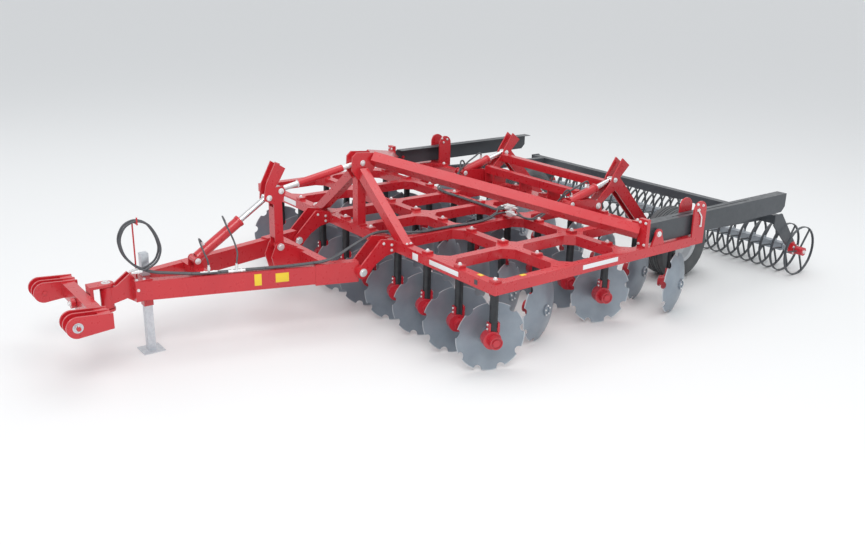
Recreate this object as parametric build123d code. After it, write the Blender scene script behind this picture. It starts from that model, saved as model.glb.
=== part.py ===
import os
from math import asin, cos, radians, sin, sqrt, tan

from build123d import *

os.makedirs("parts", exist_ok=True)

# A trailed disc harrow, in millimetres. The ground is Z = 0, the hitch is at -Y,
# and +X is the machine's left side. It is built alike on both sides, apart from the discs.
# Y is measured here from the middle of the main frame, and saved from that of the machine.

middle_y = -277.0

# main frame
frame_width = 4500.0
half_width = frame_width / 2
frame_top = 860.0
beam = 100.0
front_row_y = -1285.0
second_row_y = -440.0
third_row_y = 400.0
rear_row_y = 1285.0
girder_gap = 55.0
girder_width = 80.0
girder_height = 90.0
girder_lift = 125.0
girder_ahead = 165.0
girder_plate = 16.0
inner_rail_x = 640.0
outer_rail_x = 1430.0
corner_gusset = 90.0
peg_width = 80.0
peg_height = 26.0

# discs and the legs that carry them
discs_per_row = 9
disc_pitch = (frame_width - 72.0) / discs_per_row
first_disc_x = half_width - 60.0
disc_radius = 330.0
disc_dish = 80.0
disc_thickness = 6.0
disc_toe = 20.0
notch_count = 9
notch_radius = 42.0
leg_radius = 38.0
rim_to_leg = 12.0
hub_radius = 58.0
spindle_radius = 22.0
knuckle_radius = 84.0
knuckle_half = 46.0
clamp_height = 112.0
boss_radius = 60.0
boss_height = 16.0
boss_recess = 7.0

# drawbar
ear_x = 640.0
ear_pin_y = -1708.0
ear_pin_z = 612.0
ear_gap = 150.0
ear_thickness = 20.0
ear_pin_radius = 28.0
drawbar_head_y = -3700.0
drawbar_head_z = 640.0
drawbar_head_x = 95.0
drawbar_beam_width = 90.0
drawbar_beam_height = 180.0
drawbar_knee_length = 430.0
drawbar_knee_height = 206.0
cross_tube_y = -1985.0
swivel_y = -3945.0
swivel_bottom = 500.0
swivel_top = 700.0
swivel_radius = 58.0
swivel_pin_radius = 24.0

# jack
jack_y = -3590.0
jack_top = 950.0
jack_tube = 70.0
jack_sleeve_wall = 8.0
jack_foot = 200.0

# hitch
lower_link_y = -4372.0
lower_link_z = 600.0
yoke_half_width = 600.0
yoke_pocket = 80.0
yoke_plate = 22.0
yoke_inner_gap = 60.0
yoke_rear_y = -4080.0
yoke_rear_half = 68.0
link_pin_radius = 18.3
link_pin_reach = 32.0
cross_bar_y = -4165.0
cross_bar_height = 130.0
cross_bar_depth = 110.0
roll_pin_radius = 30.0

# levelling linkage, all in the middle plane
lever_pivot_y = -2252.0
lever_pivot_z = 796.0
lever_rod_y = -2346.0
lever_rod_z = 1299.0
lever_link_y = -2215.0
lever_link_z = 1352.0
lever_half_gap = 42.0
lever_thickness = 16.0
link_pin = 22.0
front_base_y = -3110.0
front_base_z = 800.0
cylinder_radius = 52.0
cylinder_rod_radius = 28.0
cylinder_eye_radius = 36.0
base_eye_half = 58.0
rod_eye_half = 34.0
top_link_radius = 36.0
top_link_thread = 26.0
top_link_bare = 215.0

# mast
mast_pin_y = -1278.0
mast_pin_z = 1527.0
mast_leg = 100.0
mast_foot_inner = 740.0
mast_foot_outer = 915.0
mast_foot = 16.0
mast_leg_foot_x = 838.0
mast_plate = 20.0
mast_half_gap = 42.0
stay_tube = 110.0
stay_foot_x = half_width - 110.0
stay_foot_y = 640.0
stay_foot_z = 1005.0
stay_plate = 24.0

# rear axle
arm_x = 935.0
arm_pivot_y = 1263.0
arm_pivot_z = 930.0
arm_rod_y = 1538.0
arm_rod_z = 1189.0
arm_ear_y = 1699.0
arm_ear_z = 1399.0
arm_half_gap = 42.0
arm_plate = 16.0
arm_pin_radius = 26.0
lug_plate = 16.0
lug_inner = max(arm_half_gap + arm_plate, base_eye_half) + 6.0
lug_outer = lug_inner + lug_plate
rear_base_y = 843.0
rear_base_z = 1001.0
wheel_x = 1310.0
wheel_y = 2305.0
tyre_radius = 412.0
tyre_width = 380.0
spindle = 40.0
rim_radius = 205.0
axle_cross_y = 1494.0
axle_cross_z = 1128.0

# roller
roller_y = 3610.0
roller_radius = 300.0
ring_pitch = 152.0
ring_bar = 12.0
ring_width = 26.0
ring_sides = 32
spoke_lean = 25.0
sleeve = 92.0
sleeve_length = 112.0
roller_journal = 25.0
roller_plate_x = half_width - 180.0
roller_plate = 16.0
roller_housing = 66.0
rings_per_side = int((roller_plate_x - 60.0) / ring_pitch)
end_ring_x = half_width - 83.0
end_cap_x = half_width - 18.0
roller_arm_place = 0.634
roller_beam_y = 3200.0
roller_beam_z = 730.0

# side panels
panel_x = half_width - 50.0
panel_pivot_y = 815.0
panel_pivot_z = 975.0
panel_front_y = 690.0
panel_rear_y = 3090.0
panel_top = 1085.0
panel_bottom = 872.0
panel_sheet = 6.0
panel_flange = 122.0
panel_slot_y = (1120.0, 2450.0)
panel_slot = 14.0
fork_plate = 18.0
fork_half = 97.0
fork_stand = 11.0
fork_y = rear_row_y + beam / 2 + fork_stand + fork_half
fork_z = 1130.0
fork_inner_x = half_width - 198.0

# the roller's arms stand this far across the gap from the tyres to the forks
tyre_outer_x = wheel_x + tyre_width / 2
roller_arm_x = tyre_outer_x + (fork_inner_x - tyre_outer_x) * roller_arm_place

# hoses, and the hook that their slack hangs on
hose_radius = 10.0
hook_radius = 7.0
hook_x = 20.0
hook_y = -3672.0
hook_z = 1262.0
hook_reach = 152.0

# small clearances
pin_clearance = 0.05
open_eye_play = 6.0
seat_clearance = 0.3

row_beams = (front_row_y, second_row_y, third_row_y, rear_row_y)
frame_bottom = frame_top - beam
side_x = half_width - beam / 2


def block(x0, x1, y0, y1, z0, z1):
    return Pos((x0 + x1) / 2, (y0 + y1) / 2, (z0 + z1) / 2) * Box(x1 - x0, y1 - y0, z1 - z0)


def rod(start, end, radius):
    a, b = Vector(*start), Vector(*end)
    plane = Plane(origin=a, z_dir=b - a)
    return plane * Cylinder(radius, (b - a).length, align=(Align.CENTER, Align.CENTER, Align.MIN))


def pin_x(x0, x1, y, z, radius):
    return rod((x0, y, z), (x1, y, z), radius)


def bar(start, end, width, height, roll=0.0):
    a, b = Vector(*start), Vector(*end)
    along = b - a
    side = Vector(0, 0, 1).cross(along)
    plane = Plane(origin=a, x_dir=side, z_dir=along)
    face = plane * Rot(0, 0, roll) * Rectangle(width, height)
    return extrude(face, amount=along.length, dir=along.normalized())


def plate_x(outline, x0, x1):
    # outline: (y, z) corners
    wire = Polyline(*[(0, y, z) for y, z in outline], close=True)
    return Pos(x0, 0, 0) * extrude(make_face(wire), amount=x1 - x0, dir=(1, 0, 0))


def pin_through(plates, end0, end1, y, z, radius):
    # a welded pin in lengths that end at the plates' faces; plates holds their (x0, x1)
    stops = [end0, *[x for plate in sorted(plates) for x in sorted(plate)], end1]
    return [pin_x(a, b, y, z, radius) for a, b in zip(stops[::2], stops[1::2])]


def along_line(start, end, distance):
    a, b = Vector(*start), Vector(*end)
    return tuple(a + (b - a).normalized() * distance)


def both_sides(piece):
    return [piece, mirror(piece, about=Plane.YZ)]


def disc_places():
    # columns: x, y, side the leg stands on (1 left, -1 right)
    rows = (
        (front_row_y, 0.0, 1),
        (second_row_y, 0.75, -1),
        (third_row_y, 0.5, 1),
        (rear_row_y, 0.25, -1),
    )
    return [
        [(first_disc_x - (shift + k) * disc_pitch, y, side) for k in range(discs_per_row)]
        for y, shift, side in rows
    ]


def corner_gussets():
    # upright prisms that fill the inner corners of the frame's bays
    rails = (-side_x, -outer_rail_x, -inner_rail_x, 0.0, inner_rail_x, outer_rail_x, side_x)
    gussets = []
    size = corner_gusset
    for left, right in zip(rails, rails[1:]):
        for front, rear in zip(row_beams, row_beams[1:]):
            x0, x1 = left + beam / 2, right - beam / 2
            y0, y1 = front + beam / 2, rear - beam / 2
            for x, dx in ((x0, 1), (x1, -1)):
                for y, dy in ((y0, 1), (y1, -1)):
                    wire = Polyline((x, y), (x + dx * size, y), (x, y + dy * size), close=True)
                    face = Pos(0, 0, frame_bottom) * make_face(wire)
                    gussets.append(extrude(face, amount=beam, dir=(0, 0, 1)))
    return gussets


def pegs():
    # square heads over the legs; the mast's feet and the axle arms stand in place of some
    shapes = []
    h = peg_width / 2
    arm_reach = arm_half_gap + arm_plate + 8
    for row in disc_places():
        for x, y, _ in row:
            under_foot = mast_foot_inner - h < abs(x) < mast_foot_outer + h
            under_arm = abs(abs(x) - arm_x) < h + arm_reach
            if (y == front_row_y and under_foot) or (y == rear_row_y and under_arm):
                continue
            shapes.append(block(x - h, x + h, y - h, y + h, frame_top, frame_top + peg_height))
    return shapes


def drawbar_ear(x):
    y, z, r = ear_pin_y, ear_pin_z, 66.0
    outline = (
        (front_row_y + 40, frame_top),
        (front_row_y + 40, frame_top + 4),
        (front_row_y - beam / 2, frame_top + 10),
        (front_row_y - beam / 2 - 14, frame_top + 24),
        (front_row_y - 209, frame_top + 52),
        (y - r * 0.8, z + r * 0.6),
        (y - r * 0.9, z - r * 0.4),
        (y + r * 0.4, z - r * 0.9),
        (y + 150, z + 60),
        (y + 270, z + 125),
        (front_row_y - beam / 2, frame_bottom - 6),
        (front_row_y - beam / 2, frame_top),
    )
    shapes, plates = [], []
    for side in (-1, 1):
        inner = x + side * ear_gap / 2
        outer = inner + side * ear_thickness
        x0, x1 = sorted((inner, outer))
        plates.append((x0, x1))
        shapes.append(plate_x(outline, x0, x1) + pin_x(x0, x1, y, z, r))
    shapes.append(
        block(
            x - ear_gap / 2, x + ear_gap / 2,
            front_row_y - 150, front_row_y - beam / 2, frame_bottom + 10, frame_top - 10,
        )
    )
    half = ear_gap / 2 + ear_thickness + 12
    return shapes + pin_through(plates, x - half, x + half, y, z, ear_pin_radius)


def rear_girder():
    # carried on plates at its ends and halfway between the legs of the rear row
    y0, z0 = rear_row_y - girder_ahead, frame_top + girder_lift
    half = arm_x - lug_outer - girder_gap
    shapes = [block(-half, half, y0, y0 + girder_width, z0, z0 + girder_height)]
    middles = [x + disc_pitch / 2 for x, _, _ in disc_places()[3]]
    inside = [x for x in middles if abs(x) < half - disc_pitch / 4]
    t = girder_plate / 2
    for x in (10 - half, *inside, half - 10):
        shapes.append(block(x - t, x + t, y0, rear_row_y + 40, frame_top, z0))
    return shapes


def arm_lugs(x):
    # paired plates that carry the axle arm's pivot and the cylinder's base pin
    y, z = arm_pivot_y, arm_pivot_z
    cy, cz = rear_base_y, rear_base_z
    back, front = rear_row_y + beam / 2, rear_row_y - beam / 2
    outline = (
        (cy - 20, cz + 44), (y - 120, z + 92), (y + 20, z + 55), (y + 55, z), (back, frame_top),
        (front, frame_top), (front, frame_bottom + 20), (front - 60, frame_bottom + 10),
        (cy - 10, cz - 46),
    )
    shapes, plates = [], []
    for side in (-1, 1):
        x0, x1 = sorted((x + side * lug_inner, x + side * lug_outer))
        plates.append((x0, x1))
        plate = plate_x(outline, x0, x1) + pin_x(x0, x1, cy, cz, 46) + pin_x(x0, x1, y, z, 55)
        shapes.append(plate)
    reach = lug_outer + 12
    shapes += pin_through(plates, x - reach, x + reach, y, z, arm_pin_radius)
    shapes += pin_through(plates, x - reach, x + reach, cy, cz, link_pin)
    return shapes


def panel_mounts():
    # pivot ear and forked catch of the left side beam's panel
    shapes = []
    y, z = panel_pivot_y, panel_pivot_z
    outer = half_width
    x0 = panel_x + 26
    outline = ((y - 95, frame_top), (y - 52, z - 10), (y - 45, z), (y + 45, z), (y + 52, z - 10),
               (y + 95, frame_top))
    shapes.append(plate_x(outline, x0, x0 + 20) + pin_x(x0, x0 + 20, y, z, 52))
    shapes += pin_through([(x0, x0 + 20)], panel_x - 30, x0 + 30, y, z, 20)
    y, z = fork_y, fork_z
    low, high = frame_bottom + 6, frame_top - 8
    inner = fork_inner_x + fork_plate
    for lo, hi in ((fork_inner_x, inner), (outer - fork_plate, outer)):
        plate = block(lo, hi, y - fork_half, y + fork_half, low, z) + pin_x(lo, hi, y, z, fork_half)
        shapes.append(plate)
    # the box that stands them off the rear beam
    front = y - fork_half
    shapes.append(block(fork_inner_x, outer, front - fork_stand, front, low, high))
    shapes.append(block(inner, outer - fork_plate, front, y + 20, low, high))
    return shapes


def main_frame():
    # welded from tubes and plates that meet face to face
    half, b = half_width, beam / 2
    y0, y1 = front_row_y - b, rear_row_y + b
    shapes = [block(x - b, x + b, y0, y1, frame_bottom, frame_top) for x in (-side_x, side_x)]
    for y in row_beams:
        shapes.append(block(beam - half, half - beam, y - b, y + b, frame_bottom, frame_top))
    for x in (-outer_rail_x, -inner_rail_x, 0.0, inner_rail_x, outer_rail_x):
        for front, rear in zip(row_beams, row_beams[1:]):
            shapes.append(block(x - b, x + b, front + b, rear - b, frame_bottom, frame_top))
    shapes += corner_gussets()
    shapes += pegs()
    for x in (-ear_x, ear_x):
        shapes += drawbar_ear(x)
    shapes += rear_girder()
    for x in (-arm_x, arm_x):
        shapes += arm_lugs(x)
    for shape in panel_mounts():
        shapes += both_sides(shape)
    return Compound(children=shapes)


def mast():
    y, z = mast_pin_y, mast_pin_z
    shapes = []
    head = ((y - 128, z - 70), (y - 120, z + 70), (y - 70, z + 112), (y + 150, z + 92),
            (y + 165, z - 40), (y + 60, z - 170), (y - 60, z - 170))
    for side in (-1, 1):
        x0, x1 = sorted((side * mast_half_gap, side * (mast_half_gap + mast_plate)))
        shapes.append(plate_x(head, x0, x1))
    top = z - 150
    foot_z = frame_top + mast_foot
    front, back = front_row_y - beam / 2 + 2, front_row_y + beam / 2 - 2
    shapes.append(block(-mast_half_gap - 6, mast_half_gap + 6, y - 55, y + 42, foot_z, top))
    shapes.append(block(-80, 80, front, back, frame_top, foot_z))
    for side in (-1, 1):
        start = (side * mast_leg_foot_x, y, foot_z - 40)
        end = (side * (mast_half_gap + mast_plate / 2), y, top + 60)
        leg = bar(start, end, mast_leg, mast_leg)
        below = mast_leg + mast_foot
        leg -= block(-half_width, half_width, y - mast_leg, y + mast_leg, foot_z - below, foot_z)
        shapes.append(leg)
        x0, x1 = sorted((side * mast_foot_inner, side * mast_foot_outer))
        shapes.append(block(x0, x1, front, back, frame_top, foot_z))
        start = (side * (mast_half_gap + 10), y + 130, z + 30)
        end = (side * stay_foot_x, stay_foot_y - stay_plate / 2, stay_foot_z)
        stay = bar(start, end, stay_tube, stay_tube, roll=45.0)
        behind = stay_foot_y + 2 * stay_tube
        stay -= block(-half_width, half_width, stay_foot_y, behind, frame_bottom, z)
        shapes.append(stay)
        x0, x1 = sorted((side * (side_x - 60), side * (side_x + 48)))
        y0, y1 = stay_foot_y - stay_plate, stay_foot_y + stay_plate
        shapes.append(block(x0, x1, y0, y1, frame_top, frame_top + 285))
    reach = mast_half_gap + mast_plate + 14
    shapes.append(pin_x(-reach, reach, y, z, link_pin))
    return shapes[0] + shapes[1:]


def disc_axis(side):
    # points from the disc's hollow face, forwards and to the side of its leg
    return Vector(side * cos(radians(disc_toe)), -sin(radians(disc_toe)), 0)


def disc_frame(x, y, side):
    # local Z runs along the disc's axis, and its origin lies under the leg
    return Plane(origin=(x, y, disc_radius), z_dir=disc_axis(side), x_dir=(0, 0, 1))


rim_z = -(leg_radius + rim_to_leg)
hollow_z = rim_z - disc_dish
back_z = hollow_z - disc_thickness
hub_face_z = hollow_z + 24.0


def disc_body():
    # dished plate with round notches, its hub flange and bearing bore
    sphere = (disc_radius ** 2 + disc_dish ** 2) / (2 * disc_dish)
    middle = sphere * sin(asin(disc_radius / sphere) / 2)
    sag = sphere - sqrt(sphere ** 2 - middle ** 2)
    inner = ThreePointArc((0, 0, hollow_z), (middle, 0, hollow_z + sag), (disc_radius, 0, rim_z))
    outer = ThreePointArc(
        (disc_radius, 0, rim_z - disc_thickness), (middle, 0, back_z + sag), (0, 0, back_z)
    )
    profile = make_face(
        [
            inner,
            Line((disc_radius, 0, rim_z), (disc_radius, 0, rim_z - disc_thickness)),
            outer,
            Line((0, 0, back_z), (0, 0, hollow_z)),
        ]
    )
    dish = revolve(profile, Axis.Z)
    height = disc_dish + 4 * disc_thickness
    for k in range(notch_count):
        turn = Rot(0, 0, 360.0 * k / notch_count)
        dish -= turn * Pos(disc_radius + 4, 0, back_z - disc_thickness) * Cylinder(
            notch_radius, height, align=(Align.CENTER, Align.CENTER, Align.MIN)
        )
    dish += Pos(0, 0, hollow_z - 1) * Cylinder(
        hub_radius, hub_face_z - hollow_z + 1, align=(Align.CENTER, Align.CENTER, Align.MIN)
    )
    dish += Pos(0, 0, back_z - 14) * Cylinder(
        hub_radius, 16, align=(Align.CENTER, Align.CENTER, Align.MIN)
    )
    dish -= Pos(0, 0, back_z - 15) * Cylinder(
        hub_radius - 22, 9, align=(Align.CENTER, Align.CENTER, Align.MIN)
    )
    dish -= Pos(0, 0, hollow_z - 1) * Cylinder(
        spindle_radius + pin_clearance, 60, align=(Align.CENTER, Align.CENTER, Align.MIN)
    )
    return dish


def disc_leg(x, y, side):
    # round leg, clamped in the knuckle that holds the disc's spindle
    place = disc_frame(x, y, side)
    shapes = [rod((x, y, disc_radius + 40), (x, y, frame_bottom - seat_clearance), leg_radius)]
    knuckle = Pos(0, 0, -20) * Cylinder(
        knuckle_radius, 2 * knuckle_half, align=(Align.CENTER, Align.CENTER, Align.CENTER)
    )
    shapes.append(place * Pos(0, 18 * side, 20) * knuckle)
    shapes.append(
        place * Pos(0, 0, hub_face_z + 5) * Cylinder(
            hub_radius - 4, knuckle_half + 40 - hub_face_z - 5,
            align=(Align.CENTER, Align.CENTER, Align.MIN),
        )
    )
    shapes.append(
        place * Pos(0, 0, hollow_z + 2) * Cylinder(
            spindle_radius, 60, align=(Align.CENTER, Align.CENTER, Align.MIN)
        )
    )
    boss = Cylinder(boss_radius, boss_height, align=(Align.CENTER, Align.CENTER, Align.MIN))
    boss -= Pos(0, 0, boss_height - boss_recess) * Cylinder(
        boss_radius - 12, boss_recess + 1, align=(Align.CENTER, Align.CENTER, Align.MIN)
    )
    boss += Cylinder(
        boss_radius - 26, boss_height + 6, align=(Align.CENTER, Align.CENTER, Align.MIN)
    )
    shapes.append(place * Pos(-8, 0, knuckle_half + 38) * boss)
    for turn in (-1, 1):
        shapes.append(
            place * Pos(clamp_height, turn * (leg_radius + 4), 0) * Box(90, 20, 62)
        )
        shapes.append(
            place * Pos(clamp_height / 2 + 10, turn * (leg_radius - 2), 0) * Box(90, 26, 50)
        )
    return shapes[0] + shapes[1:]


def drawbar_line(y):
    # half spread and height of a drawbar beam's centre line at this y
    share = (y - ear_pin_y) / (drawbar_head_y - ear_pin_y)
    x = ear_x + (drawbar_head_x - ear_x) * share
    return x, ear_pin_z + (drawbar_head_z - ear_pin_z) * share


def drawbar():
    shapes = []
    for side in (-1, 1):
        start_y = ear_pin_y - 8
        x, z = drawbar_line(start_y)
        start = (side * x, start_y, z)
        end = (side * drawbar_head_x, drawbar_head_y, drawbar_head_z)
        shapes.append(bar(start, end, drawbar_beam_width, drawbar_beam_height))
        knee = along_line(start, end, drawbar_knee_length)
        shapes.append(bar(start, knee, drawbar_beam_width + 8, drawbar_knee_height))
        half = ear_gap / 2 - 4
        eye = pin_x(side * ear_x - half, side * ear_x + half, ear_pin_y, ear_pin_z, 58)
        shapes.append(eye)
    x, z = drawbar_line(cross_tube_y)
    shapes.append(block(-x, x, cross_tube_y - 50, cross_tube_y + 50, z - 20, z + 100))
    # lugs that hold the lever's pivot
    inner = lever_half_gap + lever_thickness + 5
    for side in (-1, 1):
        x0, x1 = sorted((side * inner, side * (inner + 16)))
        outline = (
            (lever_pivot_y - 100, 700), (lever_pivot_y - 52, lever_pivot_z + 20),
            (lever_pivot_y + 52, lever_pivot_z + 20), (cross_tube_y, z + 100),
            (cross_tube_y, z - 40), (lever_pivot_y - 60, z - 60),
        )
        shapes.append(
            plate_x(outline, x0, x1) + pin_x(x0, x1, lever_pivot_y, lever_pivot_z, 52)
        )
    shapes.append(pin_x(-inner - 28, inner + 28, lever_pivot_y, lever_pivot_z, 28))
    # head with the upright swivel tube
    z = drawbar_head_z
    shapes.append(block(-140, 140, drawbar_head_y - 30, drawbar_head_y + 130, z - 98, z + 98))
    outline = (
        (drawbar_head_y, z + 100), (drawbar_head_y - 40, z + 150), (swivel_y + 74, swivel_top - 6),
        (swivel_y, swivel_top - 8), (swivel_y, swivel_bottom + 30), (drawbar_head_y - 80, z - 75),
        (drawbar_head_y, z - 130),
        (drawbar_head_y + 60, z - 98),
    )
    for x0, x1 in ((-50, -30), (30, 50)):
        shapes.append(plate_x(outline, x0, x1))
    shapes.append(block(-40, 40, swivel_y, drawbar_head_y, z - 70, z + 50))
    shapes.append(
        rod((0, swivel_y, swivel_bottom), (0, swivel_y, swivel_top), swivel_radius)
    )
    # jack sleeve
    s = jack_tube / 2 + jack_sleeve_wall
    shapes.append(block(-s, s, jack_y - s, jack_y + s, z - 190, z + 100))
    shapes.append(hose_hook())
    # front cylinder's lugs on a cross plate
    x, line_z = drawbar_line(front_base_y)
    shapes.append(block(-x, x, front_base_y - 40, front_base_y + 60, line_z + 20, line_z + 95))
    for side in (-1, 1):
        x0, x1 = sorted((side * (base_eye_half + 4), side * (base_eye_half + 18)))
        outline = (
            (front_base_y - 40, line_z + 90), (front_base_y - 38, front_base_z),
            (front_base_y + 38, front_base_z), (front_base_y + 60, line_z + 90),
        )
        shapes.append(
            plate_x(outline, x0, x1) + pin_x(x0, x1, front_base_y, front_base_z, 38)
        )
    shapes.append(
        pin_x(-base_eye_half - 28, base_eye_half + 28, front_base_y, front_base_z, link_pin)
    )
    body = shapes[0] + shapes[1:]
    for side in (-1, 1):
        body -= pin_x(
            side * ear_x - ear_gap / 2, side * ear_x + ear_gap / 2,
            ear_pin_y, ear_pin_z, ear_pin_radius + pin_clearance,
        )
    body -= rod(
        (0, swivel_y, swivel_bottom - 1), (0, swivel_y, swivel_top + 1),
        swivel_pin_radius + pin_clearance,
    )
    hollow = jack_tube / 2 + seat_clearance
    body -= block(-hollow, hollow, jack_y - hollow, jack_y + hollow, 0, jack_top)
    return body


def hose_hook():
    # bent rod on the head, in front of the jack
    x0, x1, y = hook_x, hook_reach, hook_y
    base = drawbar_head_z + 90
    shapes = [
        rod((x0, y, base), (x0, y, hook_z + hook_radius), hook_radius),
        rod((x0 - hook_radius, y, hook_z), (x1 + hook_radius, y, hook_z), hook_radius),
        rod((x1, y, hook_z - hook_radius), (x1, y, hook_z + 62), hook_radius),
    ]
    return shapes[0] + shapes[1:]


def hose(points):
    # straight runs joined by the widest arcs that they allow
    spots = [Vector(*p) for p in points]
    radii = []
    for before, here, after in zip(spots, spots[1:], spots[2:]):
        run_in, run_out = here - before, after - here
        turn = radians(run_in.get_angle(run_out))
        radii.append(0.45 * min(run_in.length, run_out.length) / tan(turn / 2))
    print("hose radii", [round(r) for r in radii])
    path = FilletPolyline(*points, radius=radii)
    section = Plane(origin=path @ 0, z_dir=path % 0) * Circle(hose_radius)
    return sweep(section, path=path)


def hose_pair(table):
    # columns: x, y, z of the first hose, then how far in x and y the second lies beside it
    first = hose([(x, y, z) for x, y, z, _, _ in table])
    second = hose([(x + dx, y + dy, z) for x, y, z, dx, dy in table])
    return [first, second]


def drawbar_hoses():
    # from behind the ear, along the left beam, and once around over the hook
    table = (
        (530, -2080, 737, 26, 0),
        (466, -2300, 727, 26, 0),
        (412, -2520, 731, 26, 0),
        (345, -2750, 735, 26, 0),
        (290, -2975, 738, 26, 0),
        (228, -3190, 741, 27, 0),
        (140, -3390, 762, 32, 0),
        (76, -3560, 784, 44, 0),
        (54, -3700, 858, 50, 0),
        (54, -3800, 985, 52, 0),
        (57, -3828, 1136, 52, 0),
        (62, -3772, 1249, 52, 0),
        (66, -3672, 1289, 52, 0),
        (70, -3568, 1249, 52, 0),
        (74, -3496, 1128, 52, 0),
        (78, -3466, 990, 52, 0),
        (80, -3512, 884, 52, 0),
        (80, -3600, 836, 52, 0),
        (80, -3690, 822, 52, 0),
    )
    return Compound(children=hose_pair(table))


def frame_hoses():
    # from the ear over the front beam to the valve, and from the valve to the right arm
    supply = (
        (470, -1408, 892, -24, 0),
        (428, -1322, 884, -24, 0),
        (440, -1225, 881, -24, 0),
        (520, -1130, 882, -24, 0),
        (606, -1040, 880, -24, 0),
        (634, -900, 873, -24, 0),
        (632, -700, 873, -24, 0),
        (636, -520, 874, -24, 0),
        (650, -340, 873, -24, 0),
        (650, -160, 873, -24, 0),
        (622, -10, 880, -24, 0),
        (586, 110, 902, -24, 0),
    )
    branch = (
        (392, 262, 900, 0, -26),
        (280, 300, 888, 0, -26),
        (130, 330, 878, 0, -26),
        (-60, 334, 876, 0, -26),
        (-250, 330, 878, 0, -26),
        (-440, 334, 876, 0, -26),
        (-620, 330, 877, -4, -26),
        (-762, 366, 886, -20, -22),
        (-850, 452, 892, -24, -14),
        (-890, 560, 900, -26, -4),
    )
    return Compound(children=hose_pair(supply) + hose_pair(branch))


def jack_leg():
    t = jack_tube / 2
    shapes = [
        block(-t, t, jack_y - t, jack_y + t, 8, jack_top),
        block(-jack_foot / 2, jack_foot / 2, jack_y - jack_foot / 2, jack_y + jack_foot / 2, 0, 10),
    ]
    return shapes[0] + shapes[1:]


def hitch_head():
    # clevis around the swivel tube, with the pin that the cross bar rolls on
    gap = 6.0
    shapes = []
    for z0, z1 in (
        (swivel_top + gap, swivel_top + gap + 24),
        (swivel_bottom - gap - 24, swivel_bottom - gap),
    ):
        plate = block(-66, 66, cross_bar_y + cross_bar_depth / 2 + 30, swivel_y, z0, z1)
        plate += rod((0, swivel_y, z0), (0, swivel_y, z1), 66)
        shapes.append(plate)
    y0 = cross_bar_y + cross_bar_depth / 2 + 6
    shapes.append(block(-66, 66, y0, y0 + 30, swivel_bottom - gap - 24, swivel_top + gap + 24))
    shapes.append(
        rod(
            (0, swivel_y, swivel_bottom - gap - 44), (0, swivel_y, swivel_top + gap + 40),
            swivel_pin_radius,
        )
    )
    end = cross_bar_y - cross_bar_depth / 2 - 34
    shapes.append(rod((0, y0 + 10, lower_link_z), (0, end, lower_link_z), roll_pin_radius))
    shapes.append(
        rod(
            (0, cross_bar_y - cross_bar_depth / 2 - 5, lower_link_z), (0, end - 8, lower_link_z),
            roll_pin_radius + 16,
        )
    )
    return shapes[0] + shapes[1:]


def hitch_yoke():
    y0, y1 = cross_bar_y - cross_bar_depth / 2, cross_bar_y + cross_bar_depth / 2
    inner = yoke_half_width - 3 * yoke_plate - yoke_pocket - yoke_inner_gap
    half = cross_bar_height / 2
    shapes = [
        block(-inner - 10, inner + 10, y0, y1, lower_link_z - half, lower_link_z + half),
    ]
    r = 92.0
    for side in (-1, 1):
        x = yoke_half_width
        outer_edges = (0.0, yoke_plate + yoke_pocket, 2 * yoke_plate + yoke_pocket + yoke_inner_gap)
        for shift in outer_edges:
            x0, x1 = sorted((side * (x - shift), side * (x - shift - yoke_plate)))
            outline = (
                (lower_link_y, lower_link_z - r), (yoke_rear_y, lower_link_z - yoke_rear_half),
                (yoke_rear_y, lower_link_z + yoke_rear_half), (lower_link_y, lower_link_z + r),
            )
            shapes.append(plate_x(outline, x0, x1) + pin_x(x0, x1, lower_link_y, lower_link_z, r))
        x0, x1 = sorted((side * x, side * inner))
        half = yoke_rear_half - 3
        shapes.append(block(x0, x1, y0 + 30, yoke_rear_y - 8, lower_link_z - half, lower_link_z + half))
        x0, x1 = sorted((side * (x + link_pin_reach), side * (inner - 12)))
        shapes.append(pin_x(x0, x1, lower_link_y, lower_link_z, link_pin_radius))
    body = shapes[0] + shapes[1:]
    body -= rod((0, y0 - 2, lower_link_z), (0, y1 + 2, lower_link_z), roll_pin_radius + pin_clearance)
    return body


def level_lever():
    # two plates around a channel, wide at the pins and leaning back at the top
    py, pz = lever_pivot_y, lever_pivot_z
    outline = (
        (py - 46, pz), (py - 46, pz + 430), (py - 142, pz + 480), (py - 136, pz + 560),
        (py - 120, pz + 640), (py - 14, pz + 842), (py + 90, pz + 775), (py + 34, pz + 680),
        (py - 24, pz + 600), (py + 62, pz + 606), (py + 80, pz + 560), (py + 70, pz + 500),
        (py + 42, pz + 440), (py + 46, pz),
    )
    shapes = []
    for side in (-1, 1):
        x0, x1 = sorted((side * lever_half_gap, side * (lever_half_gap + lever_thickness)))
        shapes.append(plate_x(outline, x0, x1) + pin_x(x0, x1, py, pz, 48))
    w = lever_half_gap + 1
    shapes.append(plate_x(
        ((py - 46, pz + 90), (py - 46, pz + 400), (py - 32, pz + 400), (py - 32, pz + 90)), -w, w))
    shapes.append(plate_x(
        ((py - 80, pz + 640), (py + 28, pz + 830), (py + 42, pz + 822), (py - 66, pz + 632)), -w, w))
    for y, z in ((lever_rod_y, lever_rod_z), (lever_link_y, lever_link_z)):
        reach = lever_half_gap + lever_thickness + 12
        shapes.append(pin_x(-reach, reach, y, z, link_pin))
    body = shapes[0] + shapes[1:]
    return body - pin_x(-w - 20, w + 20, py, pz, 28 + pin_clearance)


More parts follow.
